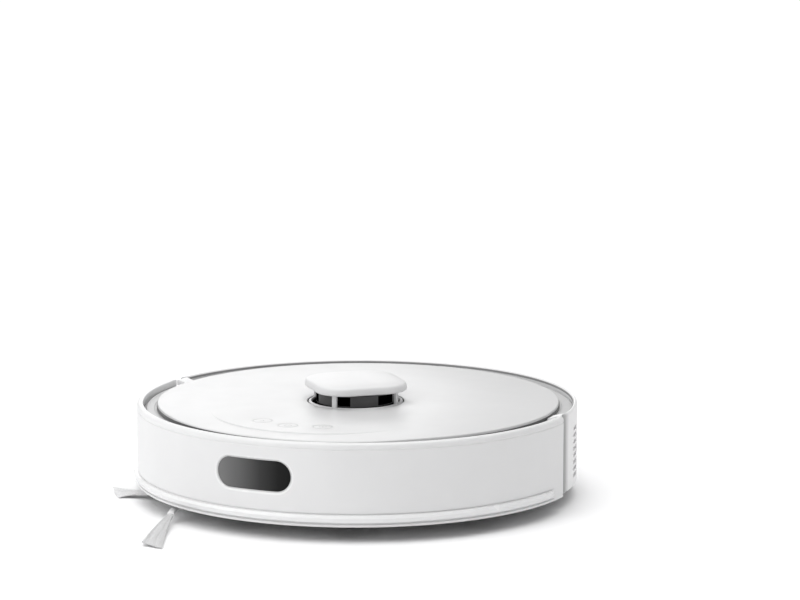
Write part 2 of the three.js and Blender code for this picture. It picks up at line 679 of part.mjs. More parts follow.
function chargeContact(side) {
  const x = side * CONTACT_X;
  const back = CONTACT_POCKET_Y + GAP;
  return block(x - 6.7, x + 6.7, back, back + 1.5, CONTACT_Z - 4.2, CONTACT_Z + 4.2);
}

// ---- Dustbin ----
const BIN_WALL = 2;
const PORT_HALF = { x: 22, z: 10 };

// The bin's outline between two heights: a box whose rear, a little wider, follows the round body.
function binSlice(z0, z1) {
  const half = BIN_HALF_WIDTH;
  const rear = block(-half - 1.2, half + 1.2, 128, 170, z0, z1).intersect(disc(BODY_RADIUS, 0, 100));
  return block(-half, half, BIN_FRONT, 130, z0, z1).add(rear);
}

function binBody() {
  const half = BIN_HALF_WIDTH - BIN_WALL;
  const hold = block(-half, half, BIN_FRONT + BIN_WALL, 170, BIN_BOTTOM + BIN_WALL, 60)
    .intersect(disc(BODY_RADIUS - 2 * BIN_WALL, 0, 100));
  const dustMouth = block(-50, 50, 50, 70, 21, 36.8);
  const airMouth = block(46, 84, 50, 70, 41, 48);
  const port = block(-PORT_HALF.x, PORT_HALF.x, 140, 170, PORT_Z - PORT_HALF.z, PORT_Z + PORT_HALF.z);
  const releaseNotch = block(-14.3, 14.3, 155.6, 170, 43.7, BIN_TOP + 1);
  return binSlice(BIN_BOTTOM, BIN_TOP).subtract(union(hold, dustMouth, airMouth, port, releaseNotch));
}

function binLid() {
  return binSlice(BIN_TOP + GAP, LID_TOP);
}

function binFilter() {
  return block(47, 83, 64, 70, 41.5, 47.5);
}

function binRelease() {
  return block(-14, 14, 157.4, 170, 44, BIN_TOP - 0.4).intersect(disc(BODY_RADIUS, 0, 100));
}

function evacuationFlap() {
  const [halfX, halfZ] = [PORT_HALF.x - 0.4, PORT_HALF.z - 0.4];
  return block(-halfX, halfX, 155.6, 157.2, PORT_Z - halfZ, PORT_Z + halfZ);
}

// ---- Assembly ----
const model = new THREE.Group();

function place(name, manifold, finish, group = model) {
  const mesh = new THREE.Mesh(geometryOf(manifold), finish);
  mesh.name = name;
  group.add(mesh);
}

place("base_chassis", baseChassis(), lightGrey);
place("rear_shell", rearShell(), whiteSatin);
place("upper_frame", upperFrame(), lightGrey);
place("top_cover", topCover(), whiteGloss);
place("brush_housing", brushHousing(), darkPlastic);
place("turret_base", turretBase(), whiteSatin);
place("turret_cap", turretCap(), whiteGloss);
place("lidar_rotor", lidarRotor(), smoked);
place("rotor_pulley", rotorPulley(), darkPlastic);
place("lidar_motor", lidarMotor(), steel);
place("lidar_motor_pulley", lidarMotorPulley(), darkPlastic);
place("lidar_belt", lidarBelt(), rubber);
place("bumper_shell", bumperShell(), whiteSatin);
place("bumper_window", bumperWindow(), smoked);
place("bumper_strip", bumperStrip(), whiteSatin);
for (const [name, [x, y]] of Object.entries(BUTTON_PLACES)) {
  const spot = new THREE.Group();
  spot.position.set(x, y, 0);
  model.add(spot);
  place(name, button(), whiteGloss, spot);
}
for (const [side, word] of [[-1, "left"], [1, "right"]]) {
  place("bumper_spring_" + word, bumperSpring(side), steel);
  place("suspension_arm_" + word, suspensionArm(side), darkPlastic);
  place("wheel_spring_" + word, wheelSpring(side), steel);
  place("wheel_hub_" + word, wheelHub(side), lightGrey);
  place("wheel_tyre_" + word, wheelTyre(side), rubber);
  place("charge_contact_" + word, chargeContact(side), nickel);
}
place("caster_fork", casterFork(), darkPlastic);
place("caster_wheel", casterWheel(), rubber);
place("side_brush_hub", sideBrushHub(), whiteSatin);
for (let i = 0; i < 3; i++) place("side_bristles_" + (i + 1), sideBristles(i), bristle);
place("side_brush_motor", sideBrushMotor(), steel);
place("main_brush_core", brushCore(), darkPlastic);
place("main_brush_blades", brushBlades(), bladeGrey);
place("brush_guard", brushGuard(), darkPlastic);
place("brush_bearing", brushBearing(), lightGrey);
place("main_brush_gearbox", mainBrushGearbox(), darkPlastic);
place("main_brush_motor", mainBrushMotor(), steel);
place("battery_pack", batteryPack(), darkPlastic);
place("battery_door", batteryDoor(), darkPlastic);
place("main_board", mainBoard(), board);
place("blower_housing", blowerHousing(), darkPlastic);
place("blower_impeller", blowerImpeller(), lightGrey);
place("air_duct", airDuct(), darkPlastic);
CLIFF_PLACES.forEach((spot, i) => place("cliff_window_" + (i + 1), cliffWindow(spot), smoked));
place("bin_body", binBody(), whiteSatin);
place("bin_lid", binLid(), whiteSatin);
place("bin_filter", binFilter(), filterPaper);
place("bin_release", binRelease(), lightGrey);
place("evacuation_flap", evacuationFlap(), darkPlastic);

export default model;
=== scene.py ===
"""Looks for the round robot vacuum: fine shells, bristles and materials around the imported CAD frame.

The front of the robot faces -Y, the floor is z = 0, and the body's axis is x = y = 0.
Shapes are worked out in millimetres and scaled to metres as each mesh is made.
Angles round the body are degrees from the front, positive towards +X.
"""

import json
import math
import random

import bmesh
import bpy
import numpy as np
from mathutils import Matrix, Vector, geometry


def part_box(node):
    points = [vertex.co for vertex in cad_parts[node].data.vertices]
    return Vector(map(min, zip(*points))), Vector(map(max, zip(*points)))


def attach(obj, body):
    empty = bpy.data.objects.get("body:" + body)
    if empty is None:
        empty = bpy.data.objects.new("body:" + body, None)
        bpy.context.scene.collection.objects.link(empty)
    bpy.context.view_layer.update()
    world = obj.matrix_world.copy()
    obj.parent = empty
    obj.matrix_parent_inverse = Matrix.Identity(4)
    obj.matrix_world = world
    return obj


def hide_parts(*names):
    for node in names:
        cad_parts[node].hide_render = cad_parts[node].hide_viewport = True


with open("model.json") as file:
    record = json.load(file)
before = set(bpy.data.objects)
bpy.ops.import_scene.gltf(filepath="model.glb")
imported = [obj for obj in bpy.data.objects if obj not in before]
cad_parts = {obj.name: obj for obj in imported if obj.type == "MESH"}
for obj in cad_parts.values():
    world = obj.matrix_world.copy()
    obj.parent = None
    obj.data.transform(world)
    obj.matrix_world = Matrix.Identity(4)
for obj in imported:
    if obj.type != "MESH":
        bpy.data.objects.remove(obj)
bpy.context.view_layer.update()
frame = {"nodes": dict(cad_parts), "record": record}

MM = 0.001
TAU = 2 * math.pi
QUARTER = math.pi / 2
rng = random.Random(11)

# ---- Driving dimensions in millimetres, as in the CAD ----
BODY_RADIUS = 160.0
BODY_INNER = 157.0
CREST = 69.0
PLATE_TOP = 68.5
PLATE_RADIUS = 146.5
DECK_TOP = 64.2
DECK_BOTTOM = 61.6
DECK_INNER = 35.2
DECK_OUTER = 156.6
BUMPER_RADIUS = 161.5
DECK_SETBACK = 4.3  # at the front: the bumper's travel of 4 mm and a margin
SHELL_BOTTOM = 10.8
BUMPER_END = 92.0
WINDOW_Z = 44.2
WINDOW_SHIFT = 1.4  # of the opening round the wall, towards +X
WINDOW_HALF_LENGTH = 18.1
WINDOW_RADIUS = 11.4
TURRET_Y = -4.0
TURRET_HOLE = 35.5
CREASE_Y = -42.0
CREASE_RADIUS = 86.0
BUTTON_RADIUS = 7.25
SIDE_HUB = (-70.0, -117.0)
SIDE_ARM_ANGLES = [math.radians(160.0 + 120 * i) for i in range(3)]
SLEEVE_END = (33.0, -6.0)
WHEEL_X = 120.0
WHEEL_Y = 7.0
WHEEL_RADIUS = 29.0
WHEEL_HALF = 7.5
CASTER_Y = -94.0
CASTER_AXLE = (-91.0, 11.0)  # y and z
BRUSH_AXLE = (24.0, 19.8)  # y and z
BASE_BOTTOM = 9.0
BIN_HALF_WIDTH = 88.0
BIN_FRONT = 61.6
BIN_FLOOR = 12.7
BIN_TOP = 50.0


# ---- Materials ----
def fill(tree, node, inputs):
    """Sets inputs by name, with _ for a space, or by number as _0, to a value or to another node's socket."""
    for key, value in inputs.items():
        socket = node.inputs[int(key[1:]) if key[0] == "_" else key.replace("_", " ")]
        if isinstance(value, bpy.types.NodeSocket):
            tree.links.new(value, socket)
        else:
            socket.default_value = value


def add_node(tree, kind, **inputs):
    made = tree.nodes.new("ShaderNode" + kind)
    fill(tree, made, inputs)
    return made


def tint(tone):
    """A colour as it is, or a nearly neutral grey from one value."""
    return tone if isinstance(tone, tuple) else (tone, tone, tone * 1.004)


LOOKS = {}


class Look:
    """One procedural material: a principled shader with noise in its colour, roughness and relief."""

    def __init__(self, name):
        self.material = bpy.data.materials.new(name)
        self.material.use_nodes = True
        self.tree = self.material.node_tree
        self.shader = self.tree.nodes["Principled BSDF"]
        self.place = self.node("TexCoord").outputs["Object"]
        LOOKS[name] = self

    def node(self, kind, **inputs):
        return add_node(self.tree, kind, **inputs)

    def set(self, **inputs):
        fill(self.tree, self.shader, inputs)

    def noise(self, scale, detail=2.0, stretch=(1, 1, 1)):
        """Noise whose features are about 1 / scale metres across."""
        mapping = self.node("Mapping", Scale=stretch, Vector=self.place)
        return self.node("TexNoise", Scale=scale, Detail=detail, Vector=mapping.outputs["Vector"]).outputs["Fac"]

    def ranged(self, value, first, last, low, high):
        """Maps first to last on low to high."""
        made = self.node("MapRange", Value=value, From_Min=first, From_Max=last, To_Min=low, To_Max=high)
        return made.outputs["Result"]

    def along(self, axis):
        """The place along one of the object's axes, in metres."""
        return self.node("SeparateXYZ", Vector=self.place).outputs[axis]

    def rough(self, factor, low, high):
        self.set(Roughness=self.ranged(factor, 0.3, 0.7, low, high))

    def colours(self, factor, *stops):
        """Base colour from (position, tone) stops by a factor."""
        ramp = self.node("ValToRGB", Fac=factor)
        tones = ramp.color_ramp.elements
        for tone, (position, value) in zip((tones[0], tones[1]), (stops[0], stops[-1])):
            tone.position, tone.color = position, (*tint(value), 1)
        for position, value in stops[1:-1]:
            tones.new(position).color = (*tint(value), 1)
        self.set(Base_Color=ramp.outputs["Color"])

    def relief(self, strength, distance, *heights):
        """Bump from one or more height outputs."""
        chain = {}
        for height in heights:
            bump = self.node("Bump", Strength=strength, Distance=distance, Height=height, **chain)
            chain = {"Normal": bump.outputs["Normal"]}
        self.set(**chain)


def moulded(name, tone, shade, rough, rough_spread, grain, grain_depth, specular=0.5, coat=0.0):
    """Moulded plastic or rubber: two close tones, uneven roughness, and a surface grain with a depth in metres."""
    look = Look(name)
    look.colours(look.noise(18, 3), (0.35, tone), (0.65, shade))
    look.rough(look.noise(60, 4), rough - rough_spread, rough + rough_spread)
    look.relief(0.35, grain_depth, look.noise(grain, 3))
    look.set(Coat_Weight=coat, Coat_Roughness=0.08, Specular_IOR_Level=specular)
    return look


def brushed(name, tone, stretch):
    """Bright metal with fine drawn lines along one axis."""
    look = Look(name)
    lines = look.noise(900, 2, stretch)
    look.colours(lines, (0.35, tuple(c * 0.92 for c in tone)), (0.65, tone))
    look.rough(lines, 0.22, 0.4)
    look.relief(0.2, 0.00002, lines)
    look.set(Metallic=1.0)


def shell_look():
    """White satin with painted shade: its colour darkens towards the joint behind the bumper's ends."""
    look = moulded("shell_white", 0.78, 0.80, 0.38, 0.04, 2600, 0.000012)
    unshaded = look.shader.inputs["Base Color"].links[0].from_socket
    # Painted shade: the colour is scaled down along Y towards the bumper's ends, where the recess is in shade.
    shaded = look.node("VectorMath", _0=unshaded)
    shaded.operation = "SCALE"
    fill(look.tree, shaded, {"Scale": look.ranged(look.along("Y"), 0.0125, 0.0215, 0.52, 1.0)})
    look.set(Base_Color=shaded.outputs["Vector"])


def bristle_look():
    """White nylon filament: slightly see-through, with tone changing along each strand."""
    look = Look("nylon_bristle")
    look.colours(look.noise(700, 2), (0.35, (0.69, 0.69, 0.69)), (0.65, (0.78, 0.78, 0.785)))
    look.rough(look.noise(300, 2), 0.32, 0.5)
    look.relief(0.3, 0.00002, look.noise(2600, 2))
    look.set(Subsurface_Weight=0.12, Subsurface_Radius=(0.001, 0.001, 0.001))


def lens_look():
    """Smoked infrared window with a painted reflection: lighter towards the -X end and black towards +X."""
    look = Look("sensor_lens_smoke")
    # Painted reflection: the base colour ramps from lighter at -X to black at +X.
    lit_side_ramp = look.ranged(look.along("X"), -0.030, 0.030, 0.0, 1.0)
    look.colours(lit_side_ramp, (0.0, 0.185), (0.35, 0.106), (0.62, 0.036), (0.85, 0.008), (1.0, 0.004))
    look.rough(look.noise(300, 2), 0.2, 0.26)
    look.relief(0.2, 0.000002, look.noise(500, 2))
    look.set(Specular_IOR_Level=0.12)


def board_look():
    """Solder mask over copper tracks and pads."""
    look = Look("circuit_board")
    flat = look.node("Mapping", Vector=look.place).outputs["Vector"]
    tracks = look.node("TexBrick", Vector=flat, Scale=160.0, Mortar_Size=0.035, Mortar=(0.05, 0.19, 0.09, 1),
                       Color1=(0.012, 0.085, 0.042, 1), Color2=(0.016, 0.100, 0.050, 1))
    look.set(Base_Color=tracks.outputs["Color"])
    look.rough(look.noise(400, 2), 0.25, 0.4)
    look.relief(0.3, 0.00004, tracks.outputs["Fac"])


def pleated_look():
    """Filter paper folded into pleats 2.5 mm apart."""
    look = Look("filter_pleats")
    wave = look.node("TexWave", Vector=look.place, Scale=63.0, Distortion=0.4).outputs["Fac"]
    look.colours(wave, (0.35, (0.62, 0.61, 0.57)), (0.65, (0.84, 0.83, 0.79)))
    look.rough(look.noise(900, 3), 0.8, 0.95)
    look.relief(0.6, 0.0004, wave, look.noise(2500, 3))


# Each line: name, two tones, roughness and its spread, the grain's scale and depth, and perhaps the specular level.
for settings in (
    ("white_gloss", 0.64, 0.655, 0.36, 0.03, 420, 0.000004),
    # A lighter copy of white_gloss for the turret's cap: painted light that lifts its shaded sides.
    ("cap_lit_white", 0.70, 0.715, 0.4, 0.03, 420, 0.000004),
    ("white_satin", 0.715, 0.735, 0.38, 0.04, 2600, 0.000012),
    # The side brush's own white; also put on the bumper's inner lip and the rear shell's posts as a lighter copy,
    # painted light there.
    ("brush_white", 0.84, 0.86, 0.4, 0.03, 1500, 0.000008),
    # A lighter copy of the white satin for the bumper's bead and the window's fillet: painted highlight.
    ("bead_white", 0.79, 0.81, 0.25, 0.03, 2600, 0.000006),
    ("seam_grey", 0.25, 0.29, 0.5, 0.05, 2000, 0.00002),
    ("vent_grey", 0.62, 0.66, 0.5, 0.05, 2000, 0.00002),
    ("window_black", 0.0008, 0.0012, 0.4, 0.05, 900, 0.000003, 0.0),
    ("light_grey", 0.53, 0.56, 0.46, 0.05, 2200, 0.00002),
    ("dark_plastic", 0.026, 0.034, 0.5, 0.08, 1900, 0.00003),
    # Dark grey for the band in the cover's gap: painted shade.
    ("gap_shade_grey", 0.075, 0.095, 0.38, 0.05, 1500, 0.00001),
    ("rotor_grey", 0.098, 0.110, 0.5, 0.05, 1800, 0.00001, 0.2),
    # Also the black for the band in the turret's gap and the screws' crosses: painted shade there.
    ("foot_black", 0.006, 0.009, 0.6, 0.05, 1800, 0.00001, 0.15),
    ("smoked_window", 0.006, 0.008, 0.16, 0.02, 500, 0.000002, 0.25),
    ("rubber", 0.024, 0.034, 0.72, 0.08, 1600, 0.00004),
    ("tyre_rubber", 0.020, 0.031, 0.8, 0.08, 1300, 0.00006),
    ("blade_rubber", 0.11, 0.14, 0.6, 0.06, 1700, 0.00003),
    ("icon_ink", 0.40, 0.44, 0.4, 0.04, 900, 0.000004),
    ("floor_paint", 0.95, 0.96, 0.85, 0.02, 60, 0.00002, 0.0),
    ("battery_wrap", (0.018, 0.03, 0.055), (0.024, 0.036, 0.065), 0.35, 0.06, 900, 0.00002, 0.5, 0.3),
):
    moulded(*settings)
brushed("steel", (0.55, 0.56, 0.57), (1, 1, 0.03))
brushed("nickel", (0.72, 0.70, 0.66), (0.03, 1, 1))
for build in (shell_look, bristle_look, lens_look, board_look, pleated_look):
    build()


# ---- Mesh building ----
class Shape:
    """Vertices in millimetres and faces, with a material number for each face."""

    def __init__(self, points=(), faces=(), look=0):
        self.points, self.faces, self.looks = [], [], []
        self.add(points, faces, look)

    def add(self, points, faces, look=0):
        start = len(self.points)
        self.points += [tuple(p) for p in points]
        self.faces += [tuple(start + i for i in face) for face in faces]
        self.looks += [look] * len(faces)

    def join(self, other, turn=0.0, move=(0, 0, 0)):
        """Adds another shape turned about Z and then moved."""
        c, s = math.cos(turn), math.sin(turn)
        looks = self.looks + other.looks
        self.add([(x * c - y * s + move[0], x * s + y * c + move[1], z + move[2]) for x, y, z in other.points],
                 other.faces)
        self.looks = looks

    def moved(self, x, y, turn=0.0):
        made = Shape()
        made.join(self, turn, (x, y, 0))
        return made

    def along_x(self, x, y, z, mirror=1):
        """The shape, built round the Z axis, laid along X with its upper end towards mirror * X, and moved."""
        laid = Shape([(x + mirror * c, y + b, z - mirror * a) for a, b, c in self.points], self.faces)
        laid.looks = list(self.looks)
        return laid

    def box(self, x0, x1, y0, y1, z0, z1, fillet, turn=0.0):
        """Adds a box with rounded corners in plan and rounded upper and lower edges."""
        x0, x1 = sorted((x0, x1))
        corner = min(fillet * 1.8, 0.45 * min(x1 - x0, y1 - y0))
        self.join(slab(rectangle(x0, x1, y0, y1, corner, 3), z0, z1, min(fillet, 0.45 * (z1 - z0)), 2), turn)


def piece(name, shape, looks, body, stands_for=None, crisp=30.0, weld=True):
    """Makes the object for a shape, rides it on its body and hides the CAD node it stands for."""
    mesh = bpy.data.meshes.new(name)
    mesh.from_pydata([(x * MM, y * MM, z * MM) for x, y, z in shape.points], [], shape.faces)
    for look in looks.split():
        mesh.materials.append(LOOKS[look].material)
    mesh.polygons.foreach_set("material_index", shape.looks)
    work = bmesh.new()
    work.from_mesh(mesh)
    if weld:
        bmesh.ops.remove_doubles(work, verts=work.verts, dist=0.000004)
    bmesh.ops.recalc_face_normals(work, faces=work.faces)
    work.to_mesh(mesh)
    work.free()
    mesh.polygons.foreach_set("use_smooth", [True] * len(mesh.polygons))
    mesh.set_sharp_from_angle(angle=math.radians(crisp))
    made = bpy.data.objects.new(name, mesh)
    bpy.context.scene.collection.objects.link(made)
    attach(made, body)
    if stands_for:
        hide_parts(stands_for)
    return made


def node_box(node):
    """Low and high corner of a CAD node, in millimetres."""
    low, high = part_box(node)
    return low / MM, high / MM


def node_middle(node):
    """Middle of a CAD node, in millimetres."""
    low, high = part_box(node)
    return (low + high) / 2 / MM


def at(angle, radius):
    """Point at an angle and a radius round the body."""
    a = math.radians(angle)
    return radius * math.sin(a), -radius * math.cos(a)


def edge_angle(half_width):
    """Angle, in degrees, that a half width spans on the body's wall."""
    return math.degrees(math.asin(half_width / BODY_RADIUS))


def smooth(share):
    """Eased share, held between 0 and 1."""
    share = min(max(share, 0.0), 1.0)
    return share * share * (3 - 2 * share)


def spaced(low, high, step):
    """Even values from low to high, about step apart, with both ends."""
    count = max(1, round((high - low) / step))
    return [low + (high - low) * i / count for i in range(count + 1)]


def merged_lines(base, cuts):
    """Sorted grid lines: the base lines less any that crowd a cut line, and the cut lines."""
    kept = [b for b in base if all(abs(b - c) > 0.35 for c in cuts)]
    return sorted(set(kept) | set(cuts))


def circle(x, y, radius, count):
    return [(x + radius * math.cos(TAU * i / count), y + radius * math.sin(TAU * i / count)) for i in range(count)]


def rounded(corners, steps):
    """Closed outline from (a, b, fillet radius) corners, with each corner replaced by an arc."""
    outline = []
    for i, (a, b, radius) in enumerate(corners):
        if radius <= 0:
            outline.append((a, b))
            continue
        here = Vector((a, b))
        before = Vector(corners[i - 1][:2]) - here
        after = Vector(corners[(i + 1) % len(corners)][:2]) - here
        u, v = before.normalized(), after.normalized()
        half = u.angle(v) / 2
        reach = min(radius / math.tan(half), 0.49 * before.length, 0.49 * after.length)
        centre = here + (u + v).normalized() * (reach * math.tan(half) / math.sin(half))
        start, end = here + u * reach - centre, here + v * reach - centre
        sweep = start.angle_signed(end)
        for k in range(steps + 1):
            c, s = math.cos(-sweep * k / steps), math.sin(-sweep * k / steps)
            outline.append((centre.x + start.x * c - start.y * s, centre.y + start.x * s + start.y * c))
    return outline


def rectangle(x0, x1, y0, y1, corner, steps):
    return rounded([(x0, y0, corner), (x1, y0, corner), (x1, y1, corner), (x0, y1, corner)], steps)


def mirrored(corners):
    """Outline corners followed by their reflection in z = 0."""
    return corners + [(r, -z, fillet) for r, z, fillet in reversed(corners)]


def hoops(rings, n, closed=False):
    """Faces between successive rings of n points, and back to the first ring when closed."""
    after = [*range(1, rings), 0] if closed else range(1, rings)
    return [(i * n + j, i * n + (j + 1) % n, m * n + (j + 1) % n, m * n + j)
            for i, m in enumerate(after) for j in range(n)]


def caps(rings, n):
    """Faces over the first and last of several rings of n points."""
    return [tuple(reversed(range(n))), tuple(range((rings - 1) * n, rings * n))]


def swept(stations, n, closed=False):
    """Faces of an outline of n points carried through stations, with both ends covered unless it is closed."""
    sides = [(a, d, c, b) for a, b, c, d in hoops(stations, n, closed)]
    return sides if closed else sides + [tuple(reversed(cap)) for cap in caps(stations, n)]


def revolved(profile, angles=None, sides=192, look=0, wave=None, steps=0):
    """A closed (radius, z) outline carried round Z through angles, or all round for None.

    With steps, the outline is given as corners with fillets. wave(radius, z, angle) may change a (radius, z)."""
    profile = rounded(profile, steps) if steps else profile
    full = angles is None
    stations = [360.0 * i / sides for i in range(sides)] if full else list(angles)
    points = []
    for angle in stations:
        for radius, z in profile:
            r, h = wave(radius, z, angle) if wave else (radius, z)
            points.append((*at(angle, r), h))
    return Shape(points, swept(len(stations), len(profile), full), look)


def lathe_solid(profile, sides, look=0):
    """A solid of revolution from an open (radius, z) outline, with flat ends."""
    points = [(*at(360.0 * j / sides, r), z) for r, z in profile for j in range(sides)]
    return Shape(points, hoops(len(profile), sides) + caps(len(profile), sides), look)


def curved_wall(outer, inner, angles, heights, holes, top, bottom):
    """A wall carried round Z between two radii, with rectangular holes through it.

    angles and heights are the grid lines, and holes are (angle0, angle1, z0, z1). top and bottom are
    open (radius, z) outlines that close the wall over its upper edge from outside to inside, and
    under its lower edge from inside to outside.
    """
    columns, rows = len(angles), len(heights)
    profile = [(outer, z) for z in heights] + top + [(inner, z) for z in reversed(heights)] + bottom
    count = len(profile)
    inner_start = rows + len(top)

    def pair(j, i):
        """Indices of the outer and the inner point of a grid corner."""
        return j * count + i, j * count + inner_start + (rows - 1 - i)

    def is_open(j, i):
        if not (0 <= j < columns - 1 and 0 <= i < rows - 1):
            return False
        a, z = (angles[j] + angles[j + 1]) / 2, (heights[i] + heights[i + 1]) / 2
        return any(h[0] < a < h[1] and h[2] < z < h[3] for h in holes)

    skin = swept(columns, count)
    faces = []
    for j in range(columns - 1):
        for i in range(count):
            on_outside = i < rows - 1
            on_inside = inner_start <= i < inner_start + rows - 1
            row = i if on_outside else rows - 2 - (i - inner_start)
            if not ((on_outside or on_inside) and is_open(j, row)):
                faces.append(skin[j * count + i])
        for i in range(rows - 1):
            jambs = (((j - 1, i), (j, i), (j, i + 1)), ((j + 1, i), (j + 1, i + 1), (j + 1, i)),
                     ((j, i - 1), (j + 1, i), (j, i)), ((j, i + 1), (j, i + 1), (j + 1, i + 1)))
            for neighbour, a, b in jambs if is_open(j, i) else ():
                if not is_open(*neighbour):
                    faces.append((*[pair(*corner)[0] for corner in (a, b)], pair(*b)[1], pair(*a)[1]))
    return Shape([(*at(angle, r), z) for angle in angles for r, z in profile], faces + skin[-2:])


def slab(outline, z0, z1, fillet=0.0, steps=3, look=0):
    """A convex XY outline raised from z0 to z1 with rounded upper and lower edges."""
    layers = [(0, z0), (0, z1)]
    if fillet > 0:
        turns = [k / steps * QUARTER for k in range(steps + 1)]
        layers = [(fillet * (1 - math.sin(t)), z0 + fillet * (1 - math.cos(t))) for t in turns]
        layers += [(inset, z1 - (z - z0)) for inset, z in reversed(layers)]
    corners = np.array(outline)
    along = np.roll(corners, -1, axis=0) - np.roll(corners, 1, axis=0)
    normals = np.stack([along[:, 1], -along[:, 0]], axis=1) / (np.linalg.norm(along, axis=1)[:, None] + 1e-9)
    normals *= np.where(np.sum(normals * (corners - corners.mean(axis=0)), axis=1) < 0, -1, 1)[:, None]
    points = [(*place, z) for inset, z in layers for place in (corners - normals * inset).tolist()]
    return Shape(points, hoops(len(layers), len(outline)) + caps(len(layers), len(outline)), look)


def tube(path, radii, sides, look=0):
    """A closed tube along a list of points, with a radius at each."""
    points = []
    for i, here in enumerate(path):
        before, after = Vector(path[max(i - 1, 0)]), Vector(path[min(i + 1, len(path) - 1)])
        along = (after - before).normalized()
        side = along.cross(Vector((0, 0, 1)))
        side = side.normalized() if side.length > 1e-4 else Vector((1, 0, 0))
        up = side.cross(along)
        for k in range(sides):
            t = TAU * k / sides
            points.append(Vector(here) + (side * math.cos(t) + up * math.sin(t)) * radii[i])
    return Shape(points, hoops(len(path), sides) + caps(len(path), sides), look)


# ---- Camera, stage and light ----
VIEW_YAW = math.radians(26.6)
VIEW_PITCH = math.radians(9.18)
CAMERA_PLACE = (0.0305, -2.1553, 0.4217)  # of the cover's middle: across, behind and above
FOCAL_LENGTH = 135.0
SENSOR_WIDTH = 36.0
HORIZON_LIGHT = 0.44
OVERHEAD_LIGHT = 3.5
OVERHEAD_POWER = 8.0
LEFT_LIGHT = 0.2
TO_LEFT = (-math.cos(VIEW_YAW), -math.sin(VIEW_YAW))
FLOOR_REACH = 40.0


def from_view(right, back, up):
    """A place counted from the body's middle across, behind and above, as the camera looks."""
    c, s = math.cos(VIEW_YAW), math.sin(VIEW_YAW)
    return (right * c - back * s, right * s + back * c, up)


def add_object(name, data):
    made = bpy.data.objects.new(name, data)
    bpy.context.scene.collection.objects.link(made)
    return made


def aim(made, place, ahead):
    """Puts a camera or light at a place, looking along a direction."""
    made.location = place
    made.rotation_mode = "QUATERNION"
    made.rotation_quaternion = Vector(ahead).to_track_quat("-Z", "Y")


def make_camera():
    data = bpy.data.cameras.new("camera")
    data.lens = FOCAL_LENGTH
    data.sensor_width = SENSOR_WIDTH
    data.clip_end = 100.0
    camera = add_object("camera", data)
    right, back, up = CAMERA_PLACE
    ahead = from_view(0, math.cos(VIEW_PITCH), -math.sin(VIEW_PITCH))
    aim(camera, from_view(right, back, up + PLATE_TOP * MM), ahead)
    bpy.context.scene.camera = camera


def make_floor():
    """A very large pale floor."""
    mesh = bpy.data.meshes.new("floor")
    corners = [(x * FLOOR_REACH, y * FLOOR_REACH, 0) for x, y in ((-1, -1), (1, -1), (1, 1), (-1, 1))]
    mesh.from_pydata(corners, [], [(0, 1, 2, 3)])
    mesh.materials.append(LOOKS["floor_paint"].material)
    add_object("floor", mesh)


def make_dome():
    """A bright dome that is strongest overhead."""
    world = bpy.data.worlds.new("studio")
    bpy.context.scene.world = world
    world.use_nodes = True
    tree = world.node_tree
    place = add_node(tree, "TexCoord").outputs["Generated"]

    def gradient(axis, power, low, high):
        """Light that grows from low to high with a power of the direction's part along an axis."""
        along = add_node(tree, "VectorMath", _0=place, _1=axis)
        along.operation = "DOT_PRODUCT"
        raised = add_node(tree, "Math", _0=along.outputs["Value"], _1=power)
        raised.operation = "POWER"
        raised.use_clamp = True
        return add_node(tree, "MapRange", Value=raised.outputs["Value"], To_Min=low, To_Max=high).outputs["Result"]

    overhead = gradient((0, 0, 1), OVERHEAD_POWER, HORIZON_LIGHT, OVERHEAD_LIGHT)
    total = add_node(tree, "Math", _0=overhead, _1=gradient((*TO_LEFT, 0.25), 1.0, 0.0, LEFT_LIGHT))
    fill(tree, tree.nodes["Background"], {"Strength": total.outputs["Value"], "Color": (1, 1, 1, 1)})


def soft_light(name, energy, width, height, place, target):
    """A rectangular softbox aimed at a point, in watts and metres."""
    data = bpy.data.lights.new(name, "AREA")
    data.shape = "RECTANGLE"
    data.energy, data.size, data.size_y = energy, width, height
    aim(add_object(name, data), place, Vector(target) - Vector(place))


# ---- Top cover ----
def crease_drop(x, y):
    """How far the cover's surface lies below its flat middle, beyond the crescent crease at the front."""
    dx, dy = x, y - CREASE_Y
    beyond = math.hypot(dx, dy) - CREASE_RADIUS
    if beyond <= 0 or dy > 0:
        return 0.0
    angle = abs(math.degrees(math.atan2(dx, -dy)))
    return smooth((62.0 - angle) / 34.0) * (0.75 * smooth(beyond / 0.8) + 0.022 * beyond)


def inside(point, loop):
    hit = False
    x, y = point
    for (x0, y0), (x1, y1) in zip(loop, loop[1:] + loop[:1]):
        if (y0 > y) != (y1 > y) and x < (x1 - x0) * (y - y0) / (y1 - y0) + x0:
            hit = not hit
    return hit


def flat_region(loops, extra=()):
    """Triangles that fill the first loop and leave the others open, with extra points inside."""
    points, edges = [], []
    for loop in loops:
        start = len(points)
        points += loop
        edges += [(start + i, start + (i + 1) % len(loop)) for i in range(len(loop))]
    verts, _, faces, *_ = geometry.delaunay_2d_cdt([Vector(p) for p in (*points, *extra)], edges, [], 0, 1e-6)
    kept = []
    for face in faces:
        middle = sum((verts[i] for i in face), Vector((0, 0))) / len(face)
        if inside(middle, loops[0]) and not any(inside(middle, hole) for hole in loops[1:]):
            kept.append(tuple(face))
    return [tuple(v) for v in verts], kept


def cover_edge(x, y, radius, count, fillet, outward, bottom):
    """The cover's rounded edge and side at its rim, with outward 1, or at a hole, with outward -1."""
    steps = 5
    turns = [k / steps * QUARTER for k in range(steps + 1)]
    rings = [(radius + outward * fillet * (math.sin(t) - 1), fillet * (1 - math.cos(t))) for t in turns]
    points = []
    for grow, down in rings:
        for px, py in circle(x, y, grow, count):
            sx, sy = x + (px - x) * rings[0][0] / grow, y + (py - y) * rings[0][0] / grow
            points.append((px, py, PLATE_TOP - crease_drop(sx, sy) - down))
    points += [(px, py, bottom) for px, py in circle(x, y, radius, count)]
    return points, hoops(len(rings) + 1, count)


